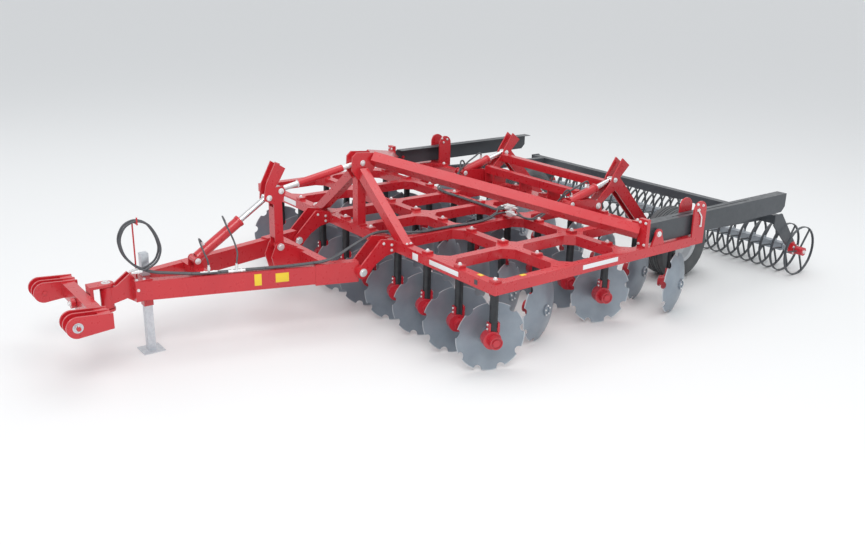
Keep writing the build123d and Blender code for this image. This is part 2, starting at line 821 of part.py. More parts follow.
def cylinder_pair(base, eye, x):
    # barrel and rod between two pins at the same x; the rod's eye ends open at its pin
    a, b = Vector(x, *base), Vector(x, *eye)
    length = (b - a).length
    stroke_end = length * 0.62
    start = along_line(a, b, cylinder_eye_radius * 0.8)
    end = along_line(a, b, stroke_end)
    barrel = rod(start, end, cylinder_radius)
    barrel += pin_x(x - base_eye_half, x + base_eye_half, *base, cylinder_eye_radius)
    barrel += rod(along_line(a, b, stroke_end - 26), end, cylinder_radius + 5)
    barrel -= pin_x(x - 60, x + 60, *base, link_pin + pin_clearance)
    bore_start = along_line(a, b, 90)
    barrel -= rod(bore_start, along_line(a, b, stroke_end + 2), cylinder_rod_radius + pin_clearance)
    piston = rod(
        along_line(a, b, length * 0.36), along_line(a, b, length - cylinder_eye_radius * 0.7),
        cylinder_rod_radius,
    )
    piston += pin_x(x - rod_eye_half, x + rod_eye_half, *eye, cylinder_eye_radius + open_eye_play)
    piston -= pin_x(x - 60, x + 60, *eye, link_pin + open_eye_play)
    return barrel, piston


def top_link():
    a = (0, lever_link_y, lever_link_z)
    b = (0, mast_pin_y, mast_pin_z)
    length = (Vector(*b) - Vector(*a)).length
    shapes = [
        rod(
            along_line(a, b, top_link_bare), along_line(a, b, length - top_link_bare),
            top_link_radius,
        ),
        rod(along_line(a, b, 34), along_line(a, b, length - 28), top_link_thread),
    ]
    for (y, z), play in ((a[1:], open_eye_play), (b[1:], 0.0)):
        shapes.append(pin_x(-rod_eye_half, rod_eye_half, y, z, cylinder_eye_radius + play))
    body = shapes[0] + shapes[1:]
    body -= pin_x(-60, 60, lever_link_y, lever_link_z, link_pin + open_eye_play)
    body -= pin_x(-60, 60, mast_pin_y, mast_pin_z, link_pin + pin_clearance)
    return body


def axle():
    shapes = []
    for side in (-1, 1):
        x = side * arm_x
        for edge in (-1, 1):
            x0, x1 = sorted((x + edge * arm_half_gap, x + edge * (arm_half_gap + arm_plate)))
            leg = (
                (arm_pivot_y - 50, arm_pivot_z), (arm_rod_y - 66, arm_rod_z - 20),
                (arm_rod_y - 40, arm_rod_z + 40), (arm_ear_y - 60, arm_ear_z + 30),
                (arm_ear_y + 60, arm_ear_z - 60), (arm_rod_y + 90, arm_rod_z + 30),
                (arm_rod_y + 60, arm_rod_z - 90), (arm_pivot_y + 50, arm_pivot_z),
            )
            shapes.append(plate_x(leg, x0, x1) + pin_x(x0, x1, arm_pivot_y, arm_pivot_z, 50))
            z = tyre_radius
            rear = (
                (arm_rod_y - 50, arm_rod_z - 50), (arm_rod_y + 60, arm_rod_z + 40),
                (wheel_y + 30, z + 60), (wheel_y + 60, z), (wheel_y, z - 66),
                (wheel_y - 70, z - 20), (wheel_y - 220, z + 120),
            )
            shapes.append(plate_x(rear, x0, x1) + pin_x(x0, x1, wheel_y, z, 64))
        w = arm_half_gap + 1
        shapes.append(
            plate_x(
                ((arm_rod_y + 100, arm_rod_z - 120), (arm_rod_y + 130, arm_rod_z - 90),
                 (wheel_y - 40, tyre_radius + 90), (wheel_y - 90, tyre_radius + 60)), x - w, x + w,
            )
        )
        reach = arm_half_gap + arm_plate + 12
        shapes.append(pin_x(x - reach, x + reach, arm_rod_y, arm_rod_z, link_pin))
        x0, x1 = sorted((side * (arm_x - 30), side * (wheel_x + 60)))
        shapes.append(pin_x(x0, x1, wheel_y, tyre_radius, spindle))
    shapes.append(block(
        -arm_x + arm_half_gap, arm_x - arm_half_gap,
        axle_cross_y - 45, axle_cross_y + 45, axle_cross_z - 45, axle_cross_z + 45))
    body = shapes[0] + shapes[1:]
    for side in (-1, 1):
        x = side * arm_x
        body -= pin_x(x - 70, x + 70, arm_pivot_y, arm_pivot_z, arm_pin_radius + pin_clearance)
    return body


def wheel(side):
    # tyre and rim as turned profiles, columns: distance along the axle, radius
    x = side * wheel_x
    w = tyre_width / 2
    bore = spindle + pin_clearance
    tyre_profile = (
        (-w * 0.7, rim_radius), (-w * 0.95, rim_radius + 60), (-w, tyre_radius - 70),
        (-w * 0.86, tyre_radius - 14), (-w * 0.6, tyre_radius), (w * 0.6, tyre_radius),
        (w * 0.86, tyre_radius - 14), (w, tyre_radius - 70), (w * 0.95, rim_radius + 60),
        (w * 0.7, rim_radius),
    )
    rim_profile = (
        (-w * 0.84, rim_radius - 1 + 12), (-w * 0.78, rim_radius + 12), (-w * 0.72, rim_radius),
        (w * 0.72, rim_radius), (w * 0.78, rim_radius + 12), (w * 0.84, rim_radius + 11),
        (w * 0.72, rim_radius - 14), (w * 0.3, rim_radius - 22), (w * 0.1, 110), (w * 0.1, bore),
        (-w * 0.25, bore), (-w * 0.25, 70), (-w * 0.05, 70), (-w * 0.05, 120),
        (w * 0.14, rim_radius - 22), (-w * 0.72, rim_radius - 14),
    )
    made = []
    for profile in (tyre_profile, rim_profile):
        wire = Polyline(*[(x + side * a, wheel_y, tyre_radius + r) for a, r in profile], close=True)
        axis = Axis((0, wheel_y, tyre_radius), (1, 0, 0))
        made.append(revolve(make_face(wire), axis))
    made[0] = made[0] - made[1]
    return made


def roller():
    # flat rings on spokes between square sleeves, one more ring outside each end plate
    axis = Axis((0, roller_y, roller_radius), (1, 0, 0))
    tube_half = roller_plate_x - roller_plate / 2 - 12
    y, z = roller_y, roller_radius
    body = pin_x(-end_cap_x, end_cap_x, y, z, roller_journal)
    body += pin_x(-tube_half, tube_half, y, z, sleeve / 2 - 6)
    shapes = []
    half = sleeve / 2
    for k in range(-rings_per_side, rings_per_side):
        x = (k + 0.5) * ring_pitch
        x0, x1 = x - sleeve_length / 2, x + sleeve_length / 2
        shapes.append(block(x0, x1, y - half, y + half, z - half, z + half))
    places = [k * ring_pitch for k in range(-rings_per_side, rings_per_side + 1)]
    for x in (-end_ring_x, *places, end_ring_x):
        x0, x1 = x - ring_width / 2, x + ring_width / 2
        face = Plane(origin=(x0, y, z), x_dir=(0, 1, 0), z_dir=(1, 0, 0))
        ring = RegularPolygon(roller_radius, ring_sides) - RegularPolygon(
            roller_radius - ring_bar, ring_sides
        )
        ring = extrude(face * ring, amount=ring_width, dir=(1, 0, 0))
        for spoke in range(3):
            arm = block(
                x - ring_width / 2 + 3, x + ring_width / 2 - 3, y - ring_bar / 2, y + ring_bar / 2,
                roller_journal - 4 + z, 2 * z - ring_bar * 0.7,
            )
            ring += arm.rotate(axis, 120 * spoke + 60 + spoke_lean)
        shapes.append(ring)
    for side in (-1, 1):
        x0, x1 = sorted((side * (end_ring_x - 30), side * end_cap_x))
        shapes.append(pin_x(x0, x1, y, z, 50))
    return body + shapes


def roller_frame():
    # two arms from the rear beam, a cross beam, and an end plate with its bearing each side
    shapes = []
    front = rear_row_y + beam / 2
    y0, y1 = roller_beam_y - beam / 2, roller_beam_y + beam / 2
    z0, z1 = roller_beam_z - beam / 2, roller_beam_z + beam / 2
    by, bz = roller_y, roller_radius
    plate_half = roller_plate / 2
    for side in (-1, 1):
        x = side * roller_arm_x
        outline = ((front, frame_bottom + 4), (front, frame_top - 4), (y0 + 4, z1 - 2), (y0 + 4, z0 + 2))
        shapes.append(plate_x(outline, x - 40, x + 40))
        x = side * roller_plate_x
        outline = (
            (y0 - 10, z1 + 8), (y1 + 30, z1 + 8), (by - 60, bz + 180), (by + 52, bz + 60),
            (by + 60, bz), (by + 40, bz - 56), (by - 40, bz - 56), (by - 70, bz),
            (y1 - 70, z0 - 60), (y0 - 10, z0 - 20),
        )
        bore = pin_x(x - 90, x + 90, by, bz, roller_journal + pin_clearance)
        shapes.append(plate_x(outline, x - plate_half, x + plate_half) - bore)
        inner = side * (roller_plate_x - plate_half)
        outer = side * (roller_plate_x + plate_half + 34)
        x0, x1 = sorted((inner - side * 5, outer))
        shapes.append(pin_x(x0, x1, by, bz, roller_housing) - bore)
    end = roller_plate_x + plate_half
    shapes.append(block(-end, end, y0, y1, z0, z1))
    return shapes[0] + shapes[1:]


def side_panel():
    # long shallow board with a slotted flange; its front end turns clear of the stay's foot
    x, y, z = panel_x, panel_pivot_y, panel_pivot_z
    half = panel_sheet / 2
    front = panel_front_y
    outline = (
        (front, z - 20), (front, z + 70), (front + 35, panel_top - 1), (panel_rear_y, panel_top - 1),
        (panel_rear_y, panel_bottom + 60), (panel_rear_y - 60, panel_bottom),
        (y - 20, panel_bottom), (front + 60, z - 85),
    )
    shapes = [plate_x(outline, x - half, x + half)]
    edge = x + half
    top = panel_top
    flange = block(edge - panel_flange, edge, front + 38, panel_rear_y, top - panel_sheet, top)
    middle = edge - panel_flange / 2
    slot_x = (middle - panel_slot / 2, middle + panel_slot / 2)
    flange -= block(*slot_x, *panel_slot_y, top - 2 * panel_sheet, top + 1)
    shapes.append(flange)
    shapes.append(pin_x(x - 14, x + 21, y, z, 40))
    body = shapes[0] + shapes[1:]
    return body - pin_x(x - 60, x + 60, y, z, 20 + pin_clearance)


def save(name, shape):
    export_step(Pos(0, -middle_y, 0) * shape, f"parts/{name}.step")


def build():
    save("main_frame", main_frame())
    save("mast", mast())
    disc = disc_body()
    legs = []
    for row, places in enumerate(disc_places(), 1):
        for k, (x, y, side) in enumerate(places, 1):
            save(f"disc_{row}_{k}", disc_frame(x, y, side) * disc)
            legs.append(disc_leg(x, y, side))
    save("disc_legs", Compound(children=legs))
    save("drawbar", drawbar())
    save("drawbar_hoses", drawbar_hoses())
    save("frame_hoses", frame_hoses())
    save("jack_leg", jack_leg())
    save("hitch_head", hitch_head())
    save("hitch_yoke", hitch_yoke())
    save("level_lever", level_lever())
    barrel, piston = cylinder_pair(
        (front_base_y, front_base_z), (lever_rod_y, lever_rod_z), 0.0
    )
    save("front_barrel", barrel)
    save("front_rod", piston)
    save("top_link", top_link())
    save("axle", axle())
    barrels, pistons = [], []
    for x in (-arm_x, arm_x):
        barrel, piston = cylinder_pair((rear_base_y, rear_base_z), (arm_rod_y, arm_rod_z), x)
        barrels.append(barrel)
        pistons.append(piston)
    save("rear_barrels", Compound(children=barrels))
    save("rear_rods", Compound(children=pistons))
    for name, side in (("left", 1), ("right", -1)):
        tyre, rim = wheel(side)
        save(f"tyre_{name}", tyre)
        save(f"rim_{name}", rim)
    save("roller", roller())
    save("roller_frame", roller_frame())
    panel = side_panel()
    save("panel_left", panel)
    save("panel_right", mirror(panel, about=Plane.YZ))


build()
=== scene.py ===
import bpy
import bmesh
import math
from mathutils import Matrix, Vector


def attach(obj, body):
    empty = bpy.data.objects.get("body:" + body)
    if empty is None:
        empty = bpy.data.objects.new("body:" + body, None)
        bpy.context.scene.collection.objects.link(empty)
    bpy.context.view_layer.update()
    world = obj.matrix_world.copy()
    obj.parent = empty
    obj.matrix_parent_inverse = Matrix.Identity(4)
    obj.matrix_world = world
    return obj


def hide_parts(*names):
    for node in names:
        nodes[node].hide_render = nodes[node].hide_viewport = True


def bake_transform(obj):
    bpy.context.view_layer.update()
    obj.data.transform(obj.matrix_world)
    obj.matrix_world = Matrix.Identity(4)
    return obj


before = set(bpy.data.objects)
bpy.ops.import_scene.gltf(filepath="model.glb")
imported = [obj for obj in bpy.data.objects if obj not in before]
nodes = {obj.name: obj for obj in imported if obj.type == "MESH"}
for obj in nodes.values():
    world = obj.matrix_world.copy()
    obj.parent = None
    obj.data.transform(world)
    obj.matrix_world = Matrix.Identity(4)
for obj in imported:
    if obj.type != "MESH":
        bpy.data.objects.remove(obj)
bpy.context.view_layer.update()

print("stage: frame loaded,", len(nodes), "nodes")

midY = 0.277     # the main frame's middle lies this far behind the whole machine's
mm = 0.001


def at(x, y, z):
    # a place in millimetres, y from the middle of the main frame
    return Vector((x * mm, y * mm + midY, z * mm))


# camera, floor and light

camera = {
    "place": (7.623, -5.853, 3.43),
    "azimuth": 52.584,
    "elevation": 18.907,
    "roll": 1.308,
    "lens": 36.877,
}


def makeCamera():
    az, el = math.radians(camera["azimuth"]), math.radians(camera["elevation"])
    back = Vector((math.sin(az) * math.cos(el), -math.cos(az) * math.cos(el), math.sin(el)))
    data = bpy.data.cameras.new("photoCamera")
    data.sensor_width = 36.0
    data.lens = camera["lens"]
    data.clip_end = 500.0
    body = bpy.data.objects.new("photoCamera", data)
    bpy.context.scene.collection.objects.link(body)
    turn = back.to_track_quat("Z", "Y").to_matrix()
    roll = Matrix.Rotation(math.radians(camera["roll"]), 3, "Z")
    body.matrix_world = Matrix.Translation(camera["place"]) @ (turn @ roll).to_4x4()
    bpy.context.scene.camera = body


makeCamera()

studio = {
    "floorColour": (0.80, 0.80, 0.79),
    "floorRoughness": 0.85,
    "floorSize": 160.0,
    "skyColour": (0.93, 0.96, 1.0),
    "shownWhite": 0.93,
    "worldStrength": 0.85,
    # name, place, aim, width, height, watts
    "lamps": (
        ("key", (9.0, -7.0, 10.5), (0.0, 0.0, 0.6), 6.0, 6.0, 640.0),
        ("fill", (-10.0, -9.0, 7.0), (0.0, -0.5, 0.6), 8.0, 6.0, 120.0),
        ("top", (0.5, 1.5, 11.0), (0.0, 0.3, 0.5), 9.0, 9.0, 420.0),
    ),
}


def nodeTree(name):
    material = bpy.data.materials.new(name)
    material.use_nodes = True
    tree = material.node_tree
    tree.nodes.clear()
    return material, tree


def add(tree, kind, **inputs):
    node = tree.nodes.new(kind)
    for key, value in inputs.items():
        if hasattr(node, key):
            setattr(node, key, value)
        else:
            node.inputs[key.replace("_", " ")].default_value = value
    return node


def link(tree, source, target):
    tree.links.new(source, target)


def makeFloor():
    size = studio["floorSize"]
    mesh = bpy.data.meshes.new("floor")
    corners = [(-size, -size, 0), (size, -size, 0), (size, size, 0), (-size, size, 0)]
    mesh.from_pydata(corners, [], [(0, 1, 2, 3)])
    floor = bpy.data.objects.new("floor", mesh)
    bpy.context.scene.collection.objects.link(floor)
    material, tree = nodeTree("paleFloor")
    shade = add(tree, "ShaderNodeBsdfPrincipled", Roughness=studio["floorRoughness"])
    shade.inputs["Base Color"].default_value = (*studio["floorColour"], 1)
    out = add(tree, "ShaderNodeOutputMaterial")
    link(tree, shade.outputs["BSDF"], out.inputs["Surface"])
    mesh.materials.append(material)


def makeWorld():
    # what lights the object is the sky, and what the camera and the metal see is a plain pale grey
    world = bpy.data.worlds.new("studioWorld")
    bpy.context.scene.world = world
    world.use_nodes = True
    tree = world.node_tree
    tree.nodes.clear()
    paths = add(tree, "ShaderNodeLightPath")
    seen = add(tree, "ShaderNodeMath", operation="MAXIMUM")
    shownToo = add(tree, "ShaderNodeMath", operation="MAXIMUM")
    light = add(tree, "ShaderNodeBackground", Strength=studio["worldStrength"])
    light.inputs["Color"].default_value = (*studio["skyColour"], 1)
    shown = add(tree, "ShaderNodeBackground", Strength=studio["shownWhite"])
    mix = add(tree, "ShaderNodeMixShader")
    out = add(tree, "ShaderNodeOutputWorld")
    link(tree, paths.outputs["Is Camera Ray"], seen.inputs[0])
    link(tree, paths.outputs["Is Glossy Ray"], seen.inputs[1])
    link(tree, seen.outputs[0], shownToo.inputs[0])
    link(tree, paths.outputs["Is Transmission Ray"], shownToo.inputs[1])
    link(tree, shownToo.outputs[0], mix.inputs["Fac"])
    link(tree, light.outputs[0], mix.inputs[1])
    link(tree, shown.outputs[0], mix.inputs[2])
    link(tree, mix.outputs[0], out.inputs["Surface"])


def makeLamps():
    for name, place, aim, width, height, watts in studio["lamps"]:
        data = bpy.data.lights.new(name, "AREA")
        data.shape = "RECTANGLE"
        data.size, data.size_y = width, height
        data.energy = watts
        lamp = bpy.data.objects.new(name, data)
        bpy.context.scene.collection.objects.link(lamp)
        lamp.location = place
        lamp.rotation_euler = (Vector(place) - Vector(aim)).to_track_quat("Z", "Y").to_euler()


makeFloor()
makeWorld()
makeLamps()
bpy.context.scene.view_settings.view_transform = "Standard"
print("stage: camera, floor and lamps")


# finishes

# scales of the noise in sprayed enamel
paintNoise = {"drift": 1.7, "dust": 9.0, "gloss": 22.0, "peel": 420.0}
coatRoughness = 0.10


def mixColour(tree, factor, one, other):
    mix = tree.nodes.new("ShaderNodeMix")
    mix.data_type = "RGBA"
    for socket, value in ((mix.inputs[6], one), (mix.inputs[7], other)):
        if hasattr(value, "links"):
            link(tree, value, socket)
        else:
            socket.default_value = (*value, 1)
    if hasattr(factor, "links"):
        link(tree, factor, mix.inputs[0])
    else:
        mix.inputs[0].default_value = factor
    return mix.outputs[2]


def mixNumber(tree, factor, one, other):
    mix = tree.nodes.new("ShaderNodeMix")
    for socket, value in ((mix.inputs[0], factor), (mix.inputs[2], one), (mix.inputs[3], other)):
        if hasattr(value, "links"):
            link(tree, value, socket)
        else:
            socket.default_value = value
    return mix.outputs[0]


def noise(tree, where, scale, detail=3.0, roughness=0.5):
    node = add(tree, "ShaderNodeTexNoise", Scale=scale, Detail=detail, Roughness=roughness)
    link(tree, where, node.inputs["Vector"])
    return node.outputs["Fac"]


def spread(tree, value, low, high, fromLow=0.3, fromHigh=0.7):
    node = tree.nodes.new("ShaderNodeMapRange")
    node.inputs["From Min"].default_value = fromLow
    node.inputs["From Max"].default_value = fromHigh
    node.inputs["To Min"].default_value = low
    node.inputs["To Max"].default_value = high
    link(tree, value, node.inputs["Value"])
    return node.outputs["Result"]


def region(tree, where, conditions):
    # 1 where all conditions hold: centre, weight of each axis, distance, and "in" or "out"
    total = None
    for centre, weights, distance, side in conditions:
        moved = add(tree, "ShaderNodeVectorMath", operation="SUBTRACT")
        moved.inputs[1].default_value = centre
        link(tree, where, moved.inputs[0])
        squeezed = add(tree, "ShaderNodeVectorMath", operation="MULTIPLY")
        squeezed.inputs[1].default_value = weights
        link(tree, moved.outputs[0], squeezed.inputs[0])
        reach = add(tree, "ShaderNodeVectorMath", operation="LENGTH")
        link(tree, squeezed.outputs[0], reach.inputs[0])
        test = add(tree, "ShaderNodeMath", operation="LESS_THAN" if side == "in" else "GREATER_THAN")
        test.inputs[1].default_value = distance
        link(tree, reach.outputs["Value"], test.inputs[0])
        if total is None:
            total = test.outputs[0]
        else:
            both = add(tree, "ShaderNodeMath", operation="MULTIPLY")
            link(tree, total, both.inputs[0])
            link(tree, test.outputs[0], both.inputs[1])
            total = both.outputs[0]
    return total


def bumped(tree, height, strength, distance, roundEdge=0.0):
    node = add(tree, "ShaderNodeBump", Strength=strength, Distance=distance)
    link(tree, height, node.inputs["Height"])
    if roundEdge:
        edge = add(tree, "ShaderNodeBevel", samples=4)
        edge.inputs["Radius"].default_value = roundEdge
        link(tree, edge.outputs[0], node.inputs["Normal"])
    return node.outputs["Normal"]


def finishMaterial(tree, shade):
    out = add(tree, "ShaderNodeOutputMaterial")
    link(tree, shade.outputs["BSDF"], out.inputs["Surface"])


def facingUp(tree):
    geometry = add(tree, "ShaderNodeNewGeometry")
    normal = add(tree, "ShaderNodeSeparateXYZ")
    link(tree, geometry.outputs["Normal"], normal.inputs[0])
    return normal.outputs["Z"]


def paint(name, look, patches=()):
    # sprayed enamel: slow drift of tone, thin dust where it lies, fine orange peel
    material, tree = nodeTree(name)
    where = add(tree, "ShaderNodeTexCoord").outputs["Object"]
    shade = add(tree, "ShaderNodeBsdfPrincipled")
    shade.inputs["Coat Weight"].default_value = look["coat"]
    shade.inputs["Coat Roughness"].default_value = coatRoughness
    drift = spread(tree, noise(tree, where, paintNoise["drift"], 2.0), 0.0, 1.0)
    tone = mixColour(tree, drift, look["colour"], look["shade"])
    dustPatches = spread(tree, noise(tree, where, paintNoise["dust"], 5.0), 0.0, 1.0, 0.42, 0.75)
    lying = add(tree, "ShaderNodeMath", operation="MULTIPLY", use_clamp=True)
    link(tree, facingUp(tree), lying.inputs[0])
    link(tree, dustPatches, lying.inputs[1])
    dusty = add(tree, "ShaderNodeMath", operation="MULTIPLY")
    dusty.inputs[1].default_value = look["dust"]
    link(tree, lying.outputs[0], dusty.inputs[0])
    tone = mixColour(tree, dusty.outputs[0], tone, look["dustColour"])
    rough = spread(tree, noise(tree, where, paintNoise["gloss"], 4.0), *look["roughness"])
    metallic = None
    for patch in patches:
        mask = region(tree, where, patch["where"])
        tone = mixColour(tree, mask, tone, patch["colour"])
        rough = mixNumber(tree, mask, rough, patch["roughness"])
        metallic = mixNumber(tree, mask, 0.0 if metallic is None else metallic, patch["metallic"])
    if metallic is not None:
        link(tree, metallic, shade.inputs["Metallic"])
    link(tree, tone, shade.inputs["Base Color"])
    link(tree, rough, shade.inputs["Roughness"])
    peel = noise(tree, where, paintNoise["peel"], 2.0)
    link(tree, bumped(tree, peel, 0.06, 0.001, look["roundEdge"]), shade.inputs["Normal"])
    finishMaterial(tree, shade)
    return material


def metal(name, look):
    # bare, plated or cast metal or rubber, with fine grain and a mottled tone
    material, tree = nodeTree(name)
    where = add(tree, "ShaderNodeTexCoord").outputs["Object"]
    shade = add(tree, "ShaderNodeBsdfPrincipled", Metallic=look["metallic"])
    blotch = spread(tree, noise(tree, where, look["blotch"], 4.0), 0.0, 1.0)
    tone = mixColour(tree, blotch, look["colour"], look["shade"])
    if "dust" in look:
        mask = spread(tree, noise(tree, where, 3.0, 6.0), 0.0, look["dust"], 0.35, 0.7)
        tone = mixColour(tree, mask, tone, look["dustColour"])
    link(tree, tone, shade.inputs["Base Color"])
    rough = spread(tree, noise(tree, where, look["grain"], 3.0), *look["roughness"])
    link(tree, rough, shade.inputs["Roughness"])
    height = noise(tree, where, look["grain"], 4.0)
    link(tree, bumped(tree, height, look["bump"], 0.001), shade.inputs["Normal"])
    finishMaterial(tree, shade)
    return material


paintLooks = {
    "frameRed": {
        "colour": (0.56, 0.020, 0.028), "shade": (0.50, 0.015, 0.025), "coat": 0.4,
        "dust": 0.05, "dustColour": (0.55, 0.42, 0.40), "roughness": (0.25, 0.36), "roundEdge": 0.004,
    },
    "castRed": {
        "colour": (0.52, 0.020, 0.035), "shade": (0.42, 0.014, 0.026), "coat": 0.4,
        "dust": 0.08, "dustColour": (0.50, 0.38, 0.36), "roughness": (0.26, 0.42), "roundEdge": 0.004,
    },
    "anthracite": {
        "colour": (0.060, 0.068, 0.078), "shade": (0.045, 0.052, 0.060), "coat": 0.15,
        "dust": 0.22, "dustColour": (0.30, 0.31, 0.32), "roughness": (0.36, 0.50), "roundEdge": 0.002,
    },
    "rimSilver": {
        "colour": (0.55, 0.57, 0.59), "shade": (0.48, 0.50, 0.52), "coat": 0.2,
        "dust": 0.1, "dustColour": (0.5, 0.48, 0.45), "roughness": (0.30, 0.42), "roundEdge": 0.003,
    },
    "labelWhite": {
        "colour": (0.80, 0.80, 0.80), "shade": (0.76, 0.77, 0.78), "coat": 0.3,
        "dust": 0.02, "dustColour": (0.6, 0.6, 0.58), "roughness": (0.30, 0.38), "roundEdge": 0.0,
    },
    "labelYellow": {
        "colour": (0.85, 0.62, 0.02), "shade": (0.80, 0.56, 0.02), "coat": 0.3,
        "dust": 0.02, "dustColour": (0.6, 0.55, 0.4), "roughness": (0.30, 0.38), "roundEdge": 0.0,
    },
}
metalLooks = {
    "hardChrome": {
        "metallic": 1.0, "colour": (0.84, 0.85, 0.87), "shade": (0.78, 0.79, 0.81),
        "blotch": 6.0, "grain": 300.0, "roughness": (0.10, 0.18), "bump": 0.01,
    },
    "galvanised": {
        "metallic": 0.65, "colour": (0.66, 0.69, 0.72), "shade": (0.54, 0.57, 0.61),
        "blotch": 40.0, "grain": 160.0, "roughness": (0.34, 0.50), "bump": 0.08,
    },
    "zincWhite": {
        "metallic": 0.45, "colour": (0.84, 0.85, 0.85), "shade": (0.74, 0.75, 0.75),
        "blotch": 60.0, "grain": 260.0, "roughness": (0.25, 0.38), "bump": 0.04,
    },
    "forgedDark": {
        "metallic": 0.4, "colour": (0.040, 0.043, 0.047), "shade": (0.026, 0.028, 0.031),
        "blotch": 18.0, "grain": 150.0, "roughness": (0.32, 0.50), "bump": 0.12,
    },
    "hoseRubber": {
        "metallic": 0.0, "colour": (0.085, 0.090, 0.098), "shade": (0.060, 0.064, 0.070),
        "blotch": 14.0, "grain": 700.0, "roughness": (0.34, 0.46), "bump": 0.10,
    },
    "tyreRubber": {
        "metallic": 0.0, "colour": (0.052, 0.056, 0.060), "shade": (0.075, 0.080, 0.084),
        "blotch": 7.0, "grain": 380.0, "roughness": (0.50, 0.68), "bump": 0.15,
        "dust": 0.35, "dustColour": (0.19, 0.20, 0.205),
    },
    "tieBlack": {
        "metallic": 0.0, "colour": (0.030, 0.030, 0.032), "shade": (0.022, 0.022, 0.024),
        "blotch": 30.0, "grain": 400.0, "roughness": (0.40, 0.50), "bump": 0.05,
    },
}
finish = {name: paint(name, look) for name, look in paintLooks.items()}
finish.update({name: metal(name, look) for name, look in metalLooks.items()})

# places in the mixed finishes, in metres
rollerY, rollerZ = 3610, 300
rollerAxis = tuple(at(0, rollerY, rollerZ))
alongX = (0, 1, 1)
linkStart, linkEnd = at(0, -2215, 1352), at(0, -1278, 1527)
linkMiddle = tuple((linkStart + linkEnd) / 2)
barePart = 215 * mm      # the top link's thread shows this far from each pin
mixedLooks = {
    "rollerSteel": ("anthracite", (
        {"where": ((rollerAxis, alongX, 0.075, "in"), ((0, 0, 0), (1, 0, 0), 2.12, "in")),
         "colour": (0.42, 0.46, 0.50), "roughness": 0.42, "metallic": 0.4},
        {"where": ((rollerAxis, alongX, 0.053, "in"), ((0, 0, 0), (1, 0, 0), 2.13, "out")),
         "colour": (0.52, 0.020, 0.035), "roughness": 0.32, "metallic": 0.0},
    )),
    "rollerFramePaint": ("anthracite", (
        {"where": ((rollerAxis, alongX, 0.092, "in"), ((0, 0, 0), (1, 0, 0), 2.02, "out")),
         "colour": (0.56, 0.020, 0.030), "roughness": 0.32, "metallic": 0.0},
    )),
    "topLinkPaint": ("frameRed", (
        {"where": ((linkMiddle, (1, 1, 1), (linkEnd - linkStart).length / 2 - barePart + 0.001, "out"),),
         "colour": (0.80, 0.81, 0.81), "roughness": 0.30, "metallic": 0.5},
    )),
}
for name, (base, patches) in mixedLooks.items():
    finish[name] = paint(name, paintLooks[base], patches)

discLook = {
    "colour": (0.30, 0.345, 0.39), "shade": (0.24, 0.28, 0.325), "edge": (0.50, 0.54, 0.57),
    "metallic": 0.45, "roughness": (0.30, 0.44), "rings": 900.0,
    "pitch": 492.0, "firstX": 2190.0, "toe": 20.0, "hubZ": 330.0, "rimR": 0.322,
}
# row name, y of its beam, shift in pitches, side that the leg stands on
discRows = ((1, -1285.0, 0.0, 1), (2, -440.0, 0.75, -1), (3, 400.0, 0.5, 1), (4, 1285.0, 0.25, -1))
discsPerRow = 9


def discSteel(row, y, shift, side):
    # rolled steel with turning marks round each disc's own axis, which repeat along the row
    material, tree = nodeTree("discSteel" + str(row))
    where = add(tree, "ShaderNodeTexCoord").outputs["Object"]
    first = at(discLook["firstX"] - shift * discLook["pitch"], y, discLook["hubZ"])
    moved = add(tree, "ShaderNodeVectorMath", operation="SUBTRACT")
    moved.inputs[1].default_value = first
    link(tree, where, moved.inputs[0])
    parts = add(tree, "ShaderNodeSeparateXYZ")
    link(tree, moved.outputs[0], parts.inputs[0])
    wrapped = add(tree, "ShaderNodeMath", operation="WRAP")
    wrapped.inputs[1].default_value = discLook["pitch"] * mm / 2
    wrapped.inputs[2].default_value = -discLook["pitch"] * mm / 2
    link(tree, parts.outputs["X"], wrapped.inputs[0])
    joined = add(tree, "ShaderNodeCombineXYZ")
    link(tree, wrapped.outputs[0], joined.inputs["X"])
    link(tree, parts.outputs["Y"], joined.inputs["Y"])
    link(tree, parts.outputs["Z"], joined.inputs["Z"])
    turned = add(tree, "ShaderNodeVectorRotate", rotation_type="Z_AXIS")
    turned.inputs["Angle"].default_value = side * math.radians(discLook["toe"])
    link(tree, joined.outputs[0], turned.inputs["Vector"])
    flat = add(tree, "ShaderNodeVectorMath", operation="MULTIPLY")
    flat.inputs[1].default_value = alongX
    link(tree, turned.outputs[0], flat.inputs[0])
    reach = add(tree, "ShaderNodeVectorMath", operation="LENGTH")
    link(tree, flat.outputs[0], reach.inputs[0])
    radius = reach.outputs["Value"]
    ringWhere = add(tree, "ShaderNodeCombineXYZ")
    link(tree, radius, ringWhere.inputs["X"])
    rings = noise(tree, ringWhere.outputs[0], discLook["rings"], 2.0)
    shade = add(tree, "ShaderNodeBsdfPrincipled", Metallic=discLook["metallic"])
    blotch = spread(tree, noise(tree, where, 5.0, 4.0), 0.0, 1.0)
    tone = mixColour(tree, blotch, discLook["colour"], discLook["shade"])
    rim = spread(tree, radius, 0.0, 1.0, discLook["rimR"], discLook["rimR"] + 0.004)
    link(tree, mixColour(tree, rim, tone, discLook["edge"]), shade.inputs["Base Color"])
    link(tree, spread(tree, rings, *discLook["roughness"]), shade.inputs["Roughness"])
    link(tree, bumped(tree, rings, 0.05, 0.001), shade.inputs["Normal"])
    finishMaterial(tree, shade)
    return material


def coat(name, material):
    for slot in nodes[name].material_slots:
        slot.material = material
    if not nodes[name].material_slots:
        nodes[name].data.materials.append(material)


